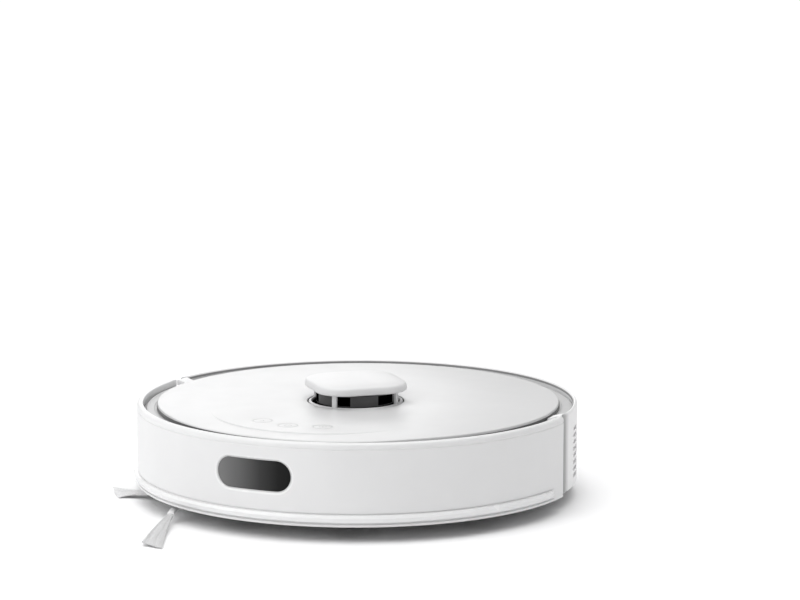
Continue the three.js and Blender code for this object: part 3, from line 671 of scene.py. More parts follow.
def top_cover():
    """The glossy cover: a flat disc with a crescent step at the front, rounded at its rim and holes."""
    rim_fillet, hole_fillet, rim_sides = 0.9, 0.35, 288
    bottom = DECK_TOP + 0.4
    holes = [(0.0, TURRET_Y, TURRET_HOLE, 120)]
    holes += [(m.x, m.y, BUTTON_RADIUS + 0.12, 48) for m in BUTTONS.values()]
    rim = circle(0, 0, PLATE_RADIUS - rim_fillet, rim_sides)
    extra = []
    for beyond in (-0.4, 0.0, 0.15, 0.3, 0.45, 0.6, 0.8, 1.1, 2.5, 5.0, 9.0, 13.0, 16.0):
        for angle in range(-62, 63):
            x, y = at(angle, CREASE_RADIUS + beyond)
            if math.hypot(x, y + CREASE_Y) < PLATE_RADIUS - rim_fillet - 0.3:
                extra.append((x, y + CREASE_Y))
    points, faces = flat_region([rim] + [circle(x, y, r + hole_fillet, n) for x, y, r, n in holes], extra)
    shape = Shape([(x, y, PLATE_TOP - crease_drop(x, y)) for x, y in points], faces)
    points, faces = flat_region([circle(0, 0, PLATE_RADIUS, rim_sides)] + [circle(*hole) for hole in holes])
    shape.add([(x, y, bottom) for x, y in points], [tuple(reversed(f)) for f in faces])
    shape.add(*cover_edge(0, 0, PLATE_RADIUS, rim_sides, rim_fillet, 1, bottom))
    for hole in holes:
        shape.add(*cover_edge(*hole, hole_fillet, -1, bottom))
    piece("cover_plate", shape, "white_gloss", "chassis", "top_cover")


def cover_band():
    """A dark band round the cover's side, in the gap to the deck: painted shade for that gap."""
    inner, outer, foot = PLATE_RADIUS + 0.02, PLATE_RADIUS + 0.55, DECK_TOP + 0.1
    band = revolved([(inner, foot, 0), (outer, foot, 0.2), (outer, 66.6, 0.25), (inner, 66.6, 0)], sides=288, steps=3)
    piece("cover_gap_shade", band, "gap_shade_grey", "chassis")


def button(word):
    """A touch button flush with the cover, with a printed ring and a plain symbol."""
    middle = BUTTONS[word]
    r, shoulder, fillet = BUTTON_RADIUS + 0.04, 68.2, 0.25
    ink_low, ink = 68.35, 68.47
    profile = [(2.2, 65.0), (2.2, 66.4), (r, 66.4), (r, shoulder)]
    profile += [(r - fillet * (1 - math.cos(t)), shoulder + fillet * math.sin(t)) for t in (0.5, 1.0, QUARTER)]
    shape = lathe_solid(profile, 64)

    def ink_ring(inner, outer, **around):
        shape.join(revolved([(inner, ink_low), (outer, ink_low), (outer, ink), (inner, ink)], look=1, **around))

    def ink_line(x0, y0, x1, y1):
        shape.join(tube([(x0, y0, ink - 0.12), (x1, y1, ink - 0.12)], [0.2, 0.2], 6, 1))

    ink_ring(6.35, 6.75, sides=64)
    if word == "left":
        ink_line(-1.1, -2.0, 1.2, 0)
        ink_line(-1.1, 2.0, 1.2, 0)
    elif word == "middle":
        ink_ring(2.2, 2.6, angles=spaced(-145, 145, 8))
        ink_line(0, 0.4, 0, 3.2)
    else:
        ink_ring(2.3, 2.7, sides=48)
        ink_ring(0.3, 0.8, sides=24)
    name = "button_" + word
    piece(name + "_cap", shape.moved(middle.x, middle.y), "white_gloss icon_ink", name, name)


# ---- Deck ring ----
def deck_ring():
    """The grey recessed ring between the cover and the rim, with a shallow step, and its inner disc."""

    def wave(radius, z, angle):
        """Keeps the ring clear of the bumper's travel at the front."""
        if radius < 150:
            return radius, z
        return radius - DECK_SETBACK * max(math.cos(math.radians(angle)), 0.0), z

    low = DECK_TOP - 0.35
    corners = [(DECK_INNER, DECK_BOTTOM, 0), (DECK_OUTER, DECK_BOTTOM, 0.3), (DECK_OUTER, DECK_TOP, 0.5),
               (149.0, DECK_TOP, 0.2), (148.6, low, 0.2), (146.0, low, 0), (DECK_INNER, low, 0)]
    shape = revolved(corners, sides=288, wave=wave, steps=4)
    shape.points = [(x, y + (TURRET_Y if math.hypot(x, y) < 60 else 0), z) for x, y, z in shape.points]
    piece("deck_ring", shape, "light_grey", "chassis", "upper_frame")


# ---- Rear shell ----
VENT_ANGLES = [(103.0, 108.0), (110.0, 115.0)]
VENT_ROWS = [(17.8 + 4.9 * row, 20.8 + 4.9 * row) for row in range(8)]
SHELL_START = 94.4
SHELL_FILLET = 2.4
BIN_OPENING = (12.3, 53.5)
BIN_SIDE_ANGLE = 180 - edge_angle(89.5)
CONTACT_OPENING = (55.5, 64.5)


def rear_shell():
    """The rear shell with its rim, side vents, bin opening and contact openings, and the posts at its front ends."""
    holes = []
    for a0, a1 in VENT_ANGLES:
        for z0, z1 in VENT_ROWS:
            holes += [(a0, a1, z0, z1), (360 - a1, 360 - a0, z0, z1)]
    holes.append((BIN_SIDE_ANGLE, 360 - BIN_SIDE_ANGLE, *BIN_OPENING))
    for side in (-1, 1):
        ends = sorted(180 - side * edge_angle(x) for x in (38.0, 52.0))
        holes.append((*ends, *CONTACT_OPENING))
    front = [SHELL_START + d for d in (0.0, 0.01, 0.04, 0.1, 0.18, 0.3, 0.45, 0.65, 0.86)]
    cut_angles = sorted({a for h in holes for a in h[:2]}) + front + [360 - a for a in front]
    angles = merged_lines(spaced(SHELL_START + 1.5, 360 - SHELL_START - 1.5, 1.25), cut_angles)
    heights = merged_lines(spaced(14.0, 66.0, 3.5), sorted({z for h in holes for z in h[2:]}))
    top = [(BODY_RADIUS, 66.8), (159.85, 67.6), (159.45, 68.3), (158.9, 68.8), (158.4, CREST - 0.02), (157.9, 68.85),
           (157.4, 68.4), (157.05, 67.7)]
    bottom = [(157.0, 11.3), (157.2, SHELL_BOTTOM), (157.8, SHELL_BOTTOM), (158.6, 11.2), (159.2, 11.9),
              (159.7, 12.9)]
    shape = curved_wall(BODY_RADIUS, BODY_INNER, angles, heights, holes, top, bottom)
    for i, (x, y, z) in enumerate(shape.points):
        radius, angle = math.hypot(x, y), abs(math.degrees(math.atan2(x, -y)))
        left = math.radians(angle - SHELL_START) * BODY_RADIUS / SHELL_FILLET
        if radius > BODY_INNER + 0.1 and left < 1:
            arc = math.sqrt(max(1 - (1 - left) ** 2, 0.0))
            drawn = radius - (radius - BODY_RADIUS + SHELL_FILLET) * (1 - arc)
            shape.points[i] = (x * drawn / radius, y * drawn / radius, z)
    guard = rounded([(155.1, 12.4, 0.3), (157.5, 12.4, 0.3), (157.5, 61.1, 0.3), (155.1, 61.1, 0.3)], 2)
    post = rounded([(148.6, DECK_TOP + 0.3, 0.3), (157.5, DECK_TOP + 0.3, 0), (157.5, 68.5, 0.4), (155.4, 68.3, 1.2),
                    (148.6, 66.4, 1.0)], 4)
    for mirror in (1, -1):
        # The posts take the lighter brush_white: painted light that lifts their shade in the gap by the bumper's
        # ends.
        shape.join(revolved(post, [mirror * a for a in spaced(92.2, 96.4, 0.5)], look=1))
        shape.join(revolved(guard, [mirror * a for a in spaced(89.1, 97.0, 0.8)]))
    for x in (-45.0, 45.0):
        shape.box(x - 8.5, x + 8.5, 147.2, 150.9, 54.4, 61.3, 0.3)
    made = piece("rear_body_shell", shape, "shell_white brush_white", "chassis", "rear_shell")
    bevel = made.modifiers.new("edges", "BEVEL")
    bevel.width = 0.35 * MM
    bevel.segments = 2
    bevel.limit_method = "ANGLE"
    bevel.angle_limit = math.radians(40.0)
    bevel.harden_normals = True


def rim_seam():
    """A grey seal on the inner wall of the rim, from post to post round the back."""
    corners = [(156.6, 66.7, 0.1), (157.1, 66.7, 0), (157.1, 68.1, 0), (156.7, 68.1, 0.2)]
    piece("rim_seal", revolved(corners, spaced(97.0, 263.0, 1.25), steps=3), "seam_grey", "chassis")


def vent_mesh():
    """Louvre backing behind the side vents."""
    shape = Shape()
    for mirror in (1, -1):
        angles = [mirror * a for a in spaced(VENT_ANGLES[0][0] - 1.5, VENT_ANGLES[-1][1] + 1.5, 1.0)]
        corners = [(156.2, 15, 0.3), (158.4, 15, 0.3), (158.4, 58, 0.3), (156.2, 58, 0.3)]
        shape.join(revolved(corners, angles, steps=2))
        for z, _ in VENT_ROWS:
            ridge = [(158.3, z + 0.3, 0.1), (159.2, z + 1.0, 0.1), (158.3, z + 2.6, 0.1)]
            shape.join(revolved(ridge, angles, steps=2))
    piece("vent_backing", shape, "vent_grey", "chassis")


# ---- Bumper ----
def on_wall(u, z, radius):
    """Point a distance u round the bumper's wall from the front, at a height and a radius."""
    return (*at(math.degrees(u / BUMPER_RADIUS), radius), z)


def pill_point(u, z, offset):
    """Nearest point to (u, z) on the window's pill outline grown by offset."""
    spine = min(max(u, -WINDOW_HALF_LENGTH), WINDOW_HALF_LENGTH)
    du, dz = u - spine, z - WINDOW_Z
    length = math.hypot(du, dz) or 1.0
    reach = WINDOW_RADIUS + offset
    return WINDOW_SHIFT + spine + du / length * reach, WINDOW_Z + dz / length * reach


def end_inset(angle, radius):
    """Draws the bumper's outer face in over its last quarter of a degree, so that its ends are rounded."""
    left = (BUMPER_END - abs(angle)) / 0.25
    if left >= 1 or radius < 160.2:
        return radius
    return radius - 0.5 * (1 - math.sqrt(1 - (1 - left) ** 2))


def shaped_radius(angle, radius, z):
    """Thickens the lip inwards away from the bumper's ends, and fades the ledge and the grooves beside the bead
    into the plain wall past the bead's ends."""
    if z > 64.9 and radius < 159.5:
        return radius - 0.9 * min(max((90.0 - abs(angle)) / 2.0, 0.0), 1.0)
    if z < 11.3 or z > 20.8 or radius < 160.5:
        return radius
    return radius + (BUMPER_RADIUS - radius) * smooth(abs(angle) - 85.6)


def sensor_recess(border, fillet, floor_depth):
    """The patch of wall inside a border, with a sunk pill opening. Returns points, faces and the rings' length."""
    rings = [[(u, z, BUMPER_RADIUS) for u, z in border]]
    for share in (0.35, 0.7):
        edge = [pill_point(u, z, fillet) for u, z in border]
        rings.append([(u + (pu - u) * share, z + (pz - z) * share, BUMPER_RADIUS)
                      for (u, z), (pu, pz) in zip(border, edge)])
    steps = 6
    for k in range(steps + 1):
        t = k / steps * QUARTER
        offset, depth = fillet * (1 - math.sin(t)), 1.0 * (1 - math.cos(t))
        rings.append([(*pill_point(u, z, offset), BUMPER_RADIUS - depth) for u, z in border])
    rings.append([(*pill_point(u, z, 0), BUMPER_RADIUS - floor_depth) for u, z in border])
    n = len(border)
    return [on_wall(*p) for ring in rings for p in ring], hoops(len(rings), n) + caps(len(rings), n)[1:]


def bumper_shell():
    """The front shell: rolled lip, thin groove under it, plain wall, grooved lower edge and a sunk pill opening."""
    wall = [(BUMPER_RADIUS, z) for z in (22.0, 24.0, *spaced(26.2, 62.2, 2.25))]
    low = rounded([(159.0, SHELL_BOTTOM, 0.4), (161.6, SHELL_BOTTOM, 0.7), (162.45, 11.5, 0.4),
                   (162.45, 13.0, 0.3)], 4)
    low = [p for p in low[1:] if p[0] > 158.9]
    groove = [(161.3, 13.2), (161.2, 13.4), (161.2, 14.4), (161.5, 14.6), (161.5, 19.3), (161.1, 19.4), (160.9, 19.7),
              (160.9, 20.0), (161.1, 20.3), (161.5, 20.4)]
    lip = [(161.5, 64.0), (161.35, 64.25), (161.2, 64.5), (161.2, 64.75), (161.35, 65.0), (161.5, 65.3),
           (161.5, 66.3), (161.35, 67.3), (161.0, 68.05), (160.45, 68.6), (159.8, 68.92), (158.9, CREST - 0.02),
           (158.3, 68.93), (157.95, 68.7), (157.8, 68.3), (157.75, 67.7), (157.75, 65.0), (157.9, 62.0)]
    inside_rows = [(158.0, 60.0), (158.6, 58.0), (158.6, 24.0), (158.8, 12.0), (159.0, 11.4)]
    profile = low + groove + wall + lip + inside_rows
    count = len(profile)
    wall_start = len(low) + len(groove)
    lip_inside = wall_start + len(wall) + 11
    patch_rows = range(wall_start + 2, wall_start + len(wall) - 1)
    half_patch = 15.0
    flank = spaced(half_patch, 85.0, 1.25)[1:] + spaced(85.5, 91.0, 0.5)
    flank += [BUMPER_END - d for d in (0.25, 0.15, 0.07, 0.02, 0)]
    patch = spaced(-half_patch, half_patch, 1.25)
    angles = [-a for a in reversed(flank)] + patch + flank
    shape = Shape([(*at(a, end_inset(a, shaped_radius(a, r, z))), z) for a in angles for r, z in profile])
    for number, face in enumerate(swept(len(angles), count)):
        j, i = divmod(number, count)
        in_patch = j < len(angles) - 1 and abs(angles[j] + angles[j + 1]) / 2 < half_patch
        if not (in_patch and i in patch_rows):
            shape.faces.append(face)
            # Faces on the lip's inner side take the lighter brush_white: painted light that lifts the shade on that
            # inward-facing wall.
            shape.looks.append(1 if min(v % count for v in face) >= lip_inside else 0)

    heights = [z for _, z in wall[2:]]
    border = [(a, heights[0]) for a in patch] + [(patch[-1], z) for z in heights[1:]]
    border += [(a, heights[-1]) for a in reversed(patch[:-1])] + [(patch[0], z) for z in reversed(heights[1:-1])]
    # The opening's fillet rings take the lighter bead white: a painted highlight along the opening's edge.
    highlight_start = len(shape.looks) + 3 * len(border)
    shape.add(*sensor_recess([(math.radians(a) * BUMPER_RADIUS, z) for a, z in border], 1.5, 2.2))
    shape.looks[highlight_start:] = [2] * (len(shape.looks) - highlight_start)
    piece("bumper_front_shell", shape, "white_satin brush_white bead_white", "bumper", "bumper_shell")

    flange = [(154.6, 60.1, 0.2), (158.3, 60.1, 0), (158.3, 61.2, 0), (154.6, 61.2, 0.3)]
    flange = revolved(flange, spaced(-86.0, 86.0, 1.25), steps=3)
    piece("bumper_flange", flange, "light_grey", "bumper")


def bumper_window():
    """The smoked lens in its pill opening, with a thin inner bevel, and the grey seal round it."""
    n = 144
    border = [(WINDOW_HALF_LENGTH * 1.6 * math.cos(TAU * i / n) * 1.4, WINDOW_Z + 24 * math.sin(TAU * i / n))
              for i in range(n)]

    def pill_rings(rings):
        return [on_wall(*pill_point(u, z, offset), r) for offset, r in rings for u, z in border]

    points = pill_rings([(-0.75, 159.4), (-0.75, 160.45), (-0.95, 160.62), (-1.3, 160.7), (-2.4, 160.7),
                         (-5.0, 160.7)])
    last_ring = range(len(points) - n, len(points))
    top = sorted((i for i in last_ring if points[i][2] >= WINDOW_Z), key=lambda i: points[i][0])
    low = sorted((i for i in last_ring if points[i][2] < WINDOW_Z), key=lambda i: points[i][0])
    face = [(a, b, d, c) for a, b, c, d in zip(low, low[1:], top, top[1:])]
    shape = Shape(points, hoops(len(points) // n, n) + caps(1, n)[:1] + face)
    piece("sensor_lens", shape, "sensor_lens_smoke", "bumper", "bumper_window", crisp=50)

    points = pill_rings([(-0.7, 159.5), (-0.7, 160.75), (-0.05, 160.75), (-0.05, 159.5)])
    piece("sensor_lens_seal", Shape(points, hoops(4, n, closed=True)), "light_grey", "bumper")


def bumper_strip():
    """The bead round the bumper's lower edge, with rounded ends."""
    root, middle, last = 161.0, 16.9, 85.9
    corners = [(root, 14.3, 0), (163.3, 14.3, 0.4), (164.35, 17.3, 0.4), (163.3, 19.15, 0.3), (root, 19.35, 0)]

    def wave(radius, z, angle):
        left = (last - abs(angle)) / 1.6
        if left >= 1:
            return radius, z
        share = math.sqrt(max(1 - (1 - max(left, 0)) ** 2, 0.0))
        return root + (radius - root) * (0.25 + 0.75 * share), middle + (z - middle) * (0.35 + 0.65 * share)

    angles = sorted(set(spaced(-last, last, 1.25) + [s * (last - d) for s in (-1, 1) for d in (0.15, 0.4, 0.8)]))
    bead = revolved(corners, angles, wave=wave, steps=5)
    # The bead is in a lighter white than the wall: a painted highlight along it.
    piece("bumper_bead", bead, "bead_white", "bumper", "bumper_strip")


# ---- Turret ----
def squircle(half, corner, count=24):
    """A square outline with large round corners."""
    outline = []
    corner = min(corner, half - 0.01)
    for quarter, (sx, sy) in enumerate(((1, 1), (-1, 1), (-1, -1), (1, -1))):
        for k in range(count + 1):
            t = QUARTER * (quarter + k / count)
            outline.append((sx * (half - corner) + corner * math.cos(t), sy * (half - corner) + corner * math.sin(t)))
    return outline


def turret_cap():
    """The square cap with a corner over each post: gently crowned top, soft shoulder, underside that tapers in."""
    # How far each layer's outline is drawn in, and its height.
    layers = [(30.0, 77.9), (3.4, 77.6), (2.4, 77.62), (1.3, 77.8), (0.6, 78.1), (0.2, 78.5), (0.0, 79.0),
              (0.05, 79.8), (0.15, 80.8), (0.3, 81.8), (0.5, 82.5), (0.75, 83.0), (1.1, 83.4), (1.6, 83.7),
              (2.2, 83.9), (3.0, 84.1), (4.5, 84.42), (6.5, 84.74), (9.0, 85.0), (13.0, 85.24), (18.0, 85.4),
              (23.0, 85.47), (29.0, 85.5)]
    points = []
    for inset, z in layers:
        half = 34.0 - inset
        outline = squircle(half, max(20.0 - inset * 0.62, half * 0.62))
        points += [(x, y, z) for x, y in outline]
    shape = Shape(points, hoops(len(layers), len(outline)) + caps(len(layers), len(outline)))
    cap = shape.moved(0, TURRET_Y, math.pi / 4)
    # The cap takes a lighter white than the cover: painted light on its shaded sides.
    piece("turret_top_cap", cap, "cap_lit_white", "chassis", "turret_cap")


def turret_base():
    """The white ring round the rotor, with a rolled edge and four posts up to the cap."""
    shape = revolved([(15.2, DECK_BOTTOM, 0), (34.4, DECK_BOTTOM, 0.3), (34.4, 68.4, 0.6), (32.7, 68.85, 0.3),
                      (32.1, 68.3, 0.2), (32.1, 63.9, 0), (15.2, 63.9, 0)], sides=144, steps=5)
    post = rounded([(-2.0, -34.0, 0.6), (2.0, -34.0, 0.6), (1.8, -31.9, 0.4), (-1.8, -31.9, 0.4)], 4)
    for i in range(4):
        shape.join(slab(post, 67.8, 79.4), QUARTER * i)
    piece("turret_ring", shape.moved(0, TURRET_Y), "white_satin", "chassis", "turret_base")


def turret_linings():
    """The black tray round the rotor's foot, and a black band at the foot of the gap to the cover: painted shade for
    that gap.
    """
    tray = [(15.6, 64.0, 0), (32.0, 64.0, 0), (32.0, 67.4, 0), (31.7, 67.4, 0), (31.5, 64.2, 0.2), (15.6, 64.2, 0)]
    gap_band = [(34.45, 63.9, 0), (35.3, 63.9, 0), (35.3, 67.6, 0.1), (34.45, 67.6, 0.1)]
    for name, corners, steps in (("turret_tray", tray, 3), ("turret_gap_shade", gap_band, 2)):
        lining = revolved(corners, sides=144, steps=steps).moved(0, TURRET_Y)
        piece(name, lining, "foot_black", "chassis")


LASER_WINDOWS = [(0.2, 19.5), (61.8, 95.0), (300.0, 318.0)]
LASER_HEIGHTS = (69.1, 75.9)


def lidar_rotor():
    """The rotating drum: grey panels with sunk black windows, a dark foot and a thin upper rim."""
    r, depth = 28.75, 1.3
    low, high = LASER_HEIGHTS
    angles = merged_lines([3.0 * i for i in range(120)], sorted({a for w in LASER_WINDOWS for a in w}))
    levels = [(14.0, 57.0), (14.0, 64.5), (27.8, 64.5), (27.8, 67.6), (r, 68.3), (r, 68.5), (r, low), (r, high),
              (r, 76.2), (r - 0.3, 76.6), (22.0, 76.6)]
    n = len(angles)
    shape = Shape([(*at(a, r), z) for r, z in levels for a in angles])
    for number, face in enumerate(hoops(len(levels), n)):
        level, angle = levels[number // n][1], angles[number % n] + 0.1
        if level != low or not any(w[0] < angle < w[1] for w in LASER_WINDOWS):
            shape.faces.append(face)
            shape.looks.append(1 if 68.5 <= level < 76.3 else 0)
    shape.faces += caps(len(levels), n)
    shape.looks += [0, 0]
    for w0, w1 in LASER_WINDOWS:
        stations = [a for a in angles if w0 - 0.01 <= a <= w1 + 0.01]
        rings = [(r, low), (r - depth, low), (r - depth, high), (r, high)]
        faces = [face for number, face in enumerate(swept(len(stations), 4)) if number % 4 < 3]
        shape.add([(*at(a, radius), z) for a in stations for radius, z in rings], faces, 2)
    drum = shape.moved(0, TURRET_Y)
    piece("laser_drum", drum, "foot_black rotor_grey window_black", "lidar_rotor", "lidar_rotor")


# ---- Side brush ----
def sleeve_line(t):
    """Point along a sleeve's middle line: it leaves the hub trailing and curves forward to its end."""
    near, bend = (7.0, -5.0), (19.0, -10.6)
    return tuple(near[i] * (1 - t) ** 2 + 2 * bend[i] * t * (1 - t) + SLEEVE_END[i] * t * t for i in (0, 1))


def side_brush_hub():
    """The hub cap with its spindle, and three moulded sleeves that hold the bristles."""
    shape = lathe_solid([(0.01, 5.0), (3.6, 5.0), (3.6, 4.4), (6.5, 4.1), (9.4, 4.5), (11.2, 5.4), (11.9, 6.6),
                         (12.0, 8.0), (11.6, 8.6), (4.0, 8.8), (4.0, 19.8)], 64)
    # Share of the way along, half width, half height and lift.
    sections = [(0.0, 3.5, 1.4, 6.4), (0.3, 2.9, 1.4, 6.9), (0.6, 2.5, 1.4, 6.9), (0.85, 2.35, 1.4, 6.4),
                (0.88, 2.6, 1.6, 6.3), (1.0, 2.6, 1.6, 5.8)]
    sides, squareness = 16, 0.6
    points = []
    for t, half, tall, lift in sections:
        x, y = sleeve_line(t)
        along = (Vector(sleeve_line(t + 0.02)) - Vector(sleeve_line(t - 0.02))).normalized()
        for k in range(sides):
            turn = TAU * (k + 0.5) / sides
            c, s = (math.copysign(abs(v) ** squareness, v) for v in (math.cos(turn), math.sin(turn)))
            points.append((x - along.y * half * c, y + along.x * half * c, lift + tall * s))
    sleeve = Shape(points, hoops(len(sections), sides) + caps(len(sections), sides))
    for angle in SIDE_ARM_ANGLES:
        shape.join(sleeve, angle)
    piece("side_brush_spider", shape.moved(*SIDE_HUB), "brush_white", "side_brush", "side_brush_hub")


# For each tuft: reach, sideways place and height of the two corners of its tip, and how far it stays gathered.
TUFT_TIPS = [((98.3, -2.4, 2.8), (75.6, 10.6, 0.7)), ((102.0, -1.1, 2.6), (106.6, 16.0, 0.6)),
             ((99.0, -1.8, 2.4), (93.0, 12.5, 0.6))]
TUFT_GATHERED = [((46.0, -4.2, 5.2), (66.0, -3.6, 4.6)), None, None]
TUFT_STRANDS = 170
STRAND_RADIUS = 0.19
STRAND_FLOOR = 0.75


def side_bristles(number):
    """A tuft of nylon filaments that fans out from its sleeve, curves and droops to a slanting line on the floor."""
    shape = Shape()
    near, far = TUFT_TIPS[number]
    gathered = TUFT_GATHERED[number]
    start_x, start_y = sleeve_line(0.97)
    for i in range(TUFT_STRANDS):
        share = (i + 0.5) / TUFT_STRANDS
        layer = rng.uniform(-1, 1)
        ragged = rng.uniform(0.0, 1.8) if rng.random() < 0.3 else rng.uniform(0.0, 0.6)
        side = min(max(share + rng.uniform(-0.03, 0.03), 0.0), 1.0)
        tip = [a + (b - a) * side for a, b in zip(near, far)]
        tip = (tip[0] - ragged, tip[1], tip[2] + layer * 0.25)
        root = (start_x + 0.3 * (0.5 - share), start_y - 1.6 + 3.2 * share, 5.7 + layer * 0.9)
        if gathered:
            pulls = [(x, y + 2.6 * (share - 0.5), z + layer * 0.5) for x, y, z in gathered]
        else:
            pulls = [[a + (b - a) * t for a, b in zip(root, tip)] for t in (1 / 3, 2 / 3)]
            pulls = [(x, y - 1.6, z) for x, y, z in pulls]
        path, radii = [], []
        for k in range(11):
            t = k / 10
            weights = ((1 - t) ** 3, 3 * t * (1 - t) ** 2, 3 * t * t * (1 - t), t ** 3)
            x, y, z = (sum(w * point[axis] for w, point in zip(weights, (root, *pulls, tip))) for axis in range(3))
            path.append((x, y, max(z, STRAND_FLOOR)))
            radii.append(STRAND_RADIUS - 0.05 * t)
        shape.join(tube(path, radii, 4))
    name = f"side_bristles_{number + 1}"
    tuft = shape.moved(*SIDE_HUB, SIDE_ARM_ANGLES[number])
    piece(name + "_tuft", tuft, "nylon_bristle", "side_brush", name, weld=False)


# ---- Wheels ----
def tread_depth(turn, lit_side_ramp):
    """Depth of the chevron grooves at a place on the tyre: turn in degrees, across from -1 to 1."""
    phase = (turn / 12.0 + 0.55 * abs(lit_side_ramp)) % 1.0
    near = min(abs(phase - 0.5) / 0.17, 1.0)
    centre = 1.2 if abs(lit_side_ramp) < 0.09 else 0.0
    return max(1.9 * (1 - near ** 4), centre)


def wheel_tyre(side, word):
    """A soft tyre with chevron lugs, a centre groove and round shoulders."""
    stations = 240
    half = (0.08, 0.1, 0.2, 0.4, 0.6, 0.8, 0.93, 1.0)
    lit_side_ramp = [-share for share in reversed(half)] + list(half)
    points = []
    for j in range(stations):
        turn = 360.0 * j / stations
        for share in lit_side_ramp:
            crown = WHEEL_RADIUS - 1.9 * max(abs(share) - 0.7, 0.0) ** 2 / 0.09
            depth = tread_depth(turn, share) * (1 - max(abs(share) - 0.93, 0) / 0.07)
            points.append((*at(turn, crown - depth), share * WHEEL_HALF))
        for radius, z in ((26.0, WHEEL_HALF - 0.25), (24.4, WHEEL_HALF - 0.5), (24.4, 0.5 - WHEEL_HALF),
                          (26.0, 0.25 - WHEEL_HALF)):
            points.append((*at(turn, radius), z))
    tyre = Shape(points, swept(stations, len(points) // stations, closed=True))
    laid = tyre.along_x(side * WHEEL_X, WHEEL_Y, WHEEL_RADIUS)
    piece("tread_" + word, laid, "tyre_rubber", "wheel_" + word, "wheel_tyre_" + word, crisp=25)


def wheel_hub(side, word):
    """The hub: rims, a dished web with six ribs on each face, a boss and the axle's end screw."""
    half = WHEEL_HALF
    shape = revolved(mirrored([(3.4, 0.7 - half, 0), (9.0, 0.7 - half, 0.6), (9.6, 2.6 - half, 0.5),
                               (21.2, 2.6 - half, 0.6), (21.9, 0.1 - half, 0.5), (23.9, 0.1 - half, 0.4)]),
                     sides=96, steps=4)
    for z0, z1 in ((half - 3.0, half - 1.1), (1.1 - half, 3.0 - half)):
        for i in range(6):
            shape.box(-1.1, 1.1, 9.2, 21.6, z0, z1, 0.4, TAU * i / 6)
    shape.join(lathe_solid([(3.6, half - 2.6), (3.6, half - 0.9), (3.2, half - 0.6), (1.0, half - 0.5)], 32, 1))
    laid = shape.along_x(side * WHEEL_X, WHEEL_Y, WHEEL_RADIUS, side)
    piece("hub_" + word, laid, "light_grey steel", "wheel_" + word, "wheel_hub_" + word)


def caster():
    """The caster's swivel with rolled edges and axle cheeks, and its wheel with a raised tread band."""
    axle_y, axle_z = CASTER_AXLE
    shape = revolved([(11.0, 9.9, 0.3), (15.6, 9.7, 0.6), (16.4, 10.6, 0.5), (16.4, 26.6, 0.5), (11.0, 26.6, 0.3)],
                     sides=96, steps=4)
    for sign in (-1, 1):
        shape.box(sign * 6.7, sign * 11.6, -12.0, 12.0, 9.9, 26.4, 0.6)
        shape.join(lathe_solid([(1.3, 0.0), (1.3, 8.0)], 20).along_x(0, axle_y - CASTER_Y, axle_z, sign))
    shape.box(-8.0, 8.0, -12.0, 12.0, 23.2, 26.4, 0.4)
    shape.join(lathe_solid([(4.0, 26.0), (4.0, 38.4), (3.4, 39.0), (1.0, 39.0)], 32))
    fork = shape.moved(0, CASTER_Y)
    piece("caster_swivel_fork", fork, "dark_plastic", "caster_swivel", "caster_fork")
    corners = mirrored([(1.75, -5.9, 0), (3.6, -5.9, 0.2), (4.0, -5.2, 0.3), (8.2, -5.2, 0.3), (8.6, -5.9, 0.3),
                        (9.4, -6.0, 0.4), (10.9, -4.3, 0.6), (10.9, -2.2, 0), (10.6, -2.0, 0)])
    roller = revolved(corners, sides=72, steps=4).along_x(0, *CASTER_AXLE)
    piece("caster_roller", roller, "rubber", "caster_wheel", "caster_wheel")


# ---- Main brush ----
BLADE_COUNT = 6
BLADE_TWIST = 1.1 / 77.0  # radians for each millimetre along
BLADE_HALF_LENGTH = 76.0
TUFT_ROOT, TUFT_KNEE = 10.4, 14.0
SLEEVE_RADII = (9.1, 10.8)
BRUSH_SWEEP = 19.7


def polar(radius, angle, z):
    return (radius * math.cos(angle), radius * math.sin(angle), z)


def brush_blades():
    """A sleeve with six soft blades twisted into a V. Each bends back, with a beaded edge cut into short fingers."""
    shape = Shape()
    stations = spaced(-BLADE_HALF_LENGTH, BLADE_HALF_LENGTH, 2.0)
    # One blade's section: radius and turn in radians from the blade's middle.
    section = [(10.4, -0.16), (12.5, -0.075), (16.0, -0.045), (18.2, -0.05), (18.9, -0.055), (19.1, -0.02),
               (18.9, 0.03), (18.2, 0.02), (16.0, 0.045), (12.5, 0.085), (10.4, 0.18)]
    for blade in range(BLADE_COUNT):
        points = []
        for number, x in enumerate(stations):
            turn = TAU * blade / BLADE_COUNT + BLADE_TWIST * abs(x)
            notch = 1.3 if number % 6 == 3 and 2 < number < len(stations) - 3 else 0.0
            points += [polar(r - notch if r > 17 else r, turn + lead, x) for r, lead in section]
        shape.add(points, swept(len(stations), len(section)))
    inner, outer = SLEEVE_RADII
    end = -BLADE_HALF_LENGTH
    shape.join(revolved(mirrored([(inner, end, 0), (outer, end, 0.5)]), sides=60, steps=3))
    blades = shape.along_x(0, *BRUSH_AXLE)
    piece("brush_blade_sleeve", blades, "blade_rubber", "main_brush", "main_brush_blades", crisp=40)


def brush_tufts():
    """Rows of short bristles between the blades."""
    tufts = Shape()
    for blade in range(BLADE_COUNT):
        for x in spaced(-72, 72, 4.5):
            turn = TAU * (blade + 0.5) / BLADE_COUNT + BLADE_TWIST * abs(x)
            for _ in range(5):
                angle = turn + rng.uniform(-0.06, 0.06)
                lean = rng.uniform(-0.05, 0.05)
                x0, x1 = x + rng.uniform(-0.5, 0.5), x + rng.uniform(-1.6, 1.6)
                tip = rng.uniform(16.6, 17.6)
                path = [polar(TUFT_ROOT, angle, x0), polar(TUFT_KNEE, angle + lean / 2, (x0 + x1) / 2),
                        polar(tip, angle + lean, x1)]
                tufts.join(tube(path, [0.2, 0.17, 0.12], 4))
    piece("brush_tufts", tufts.along_x(0, *BRUSH_AXLE), "nylon_bristle", "main_brush", weld=False)


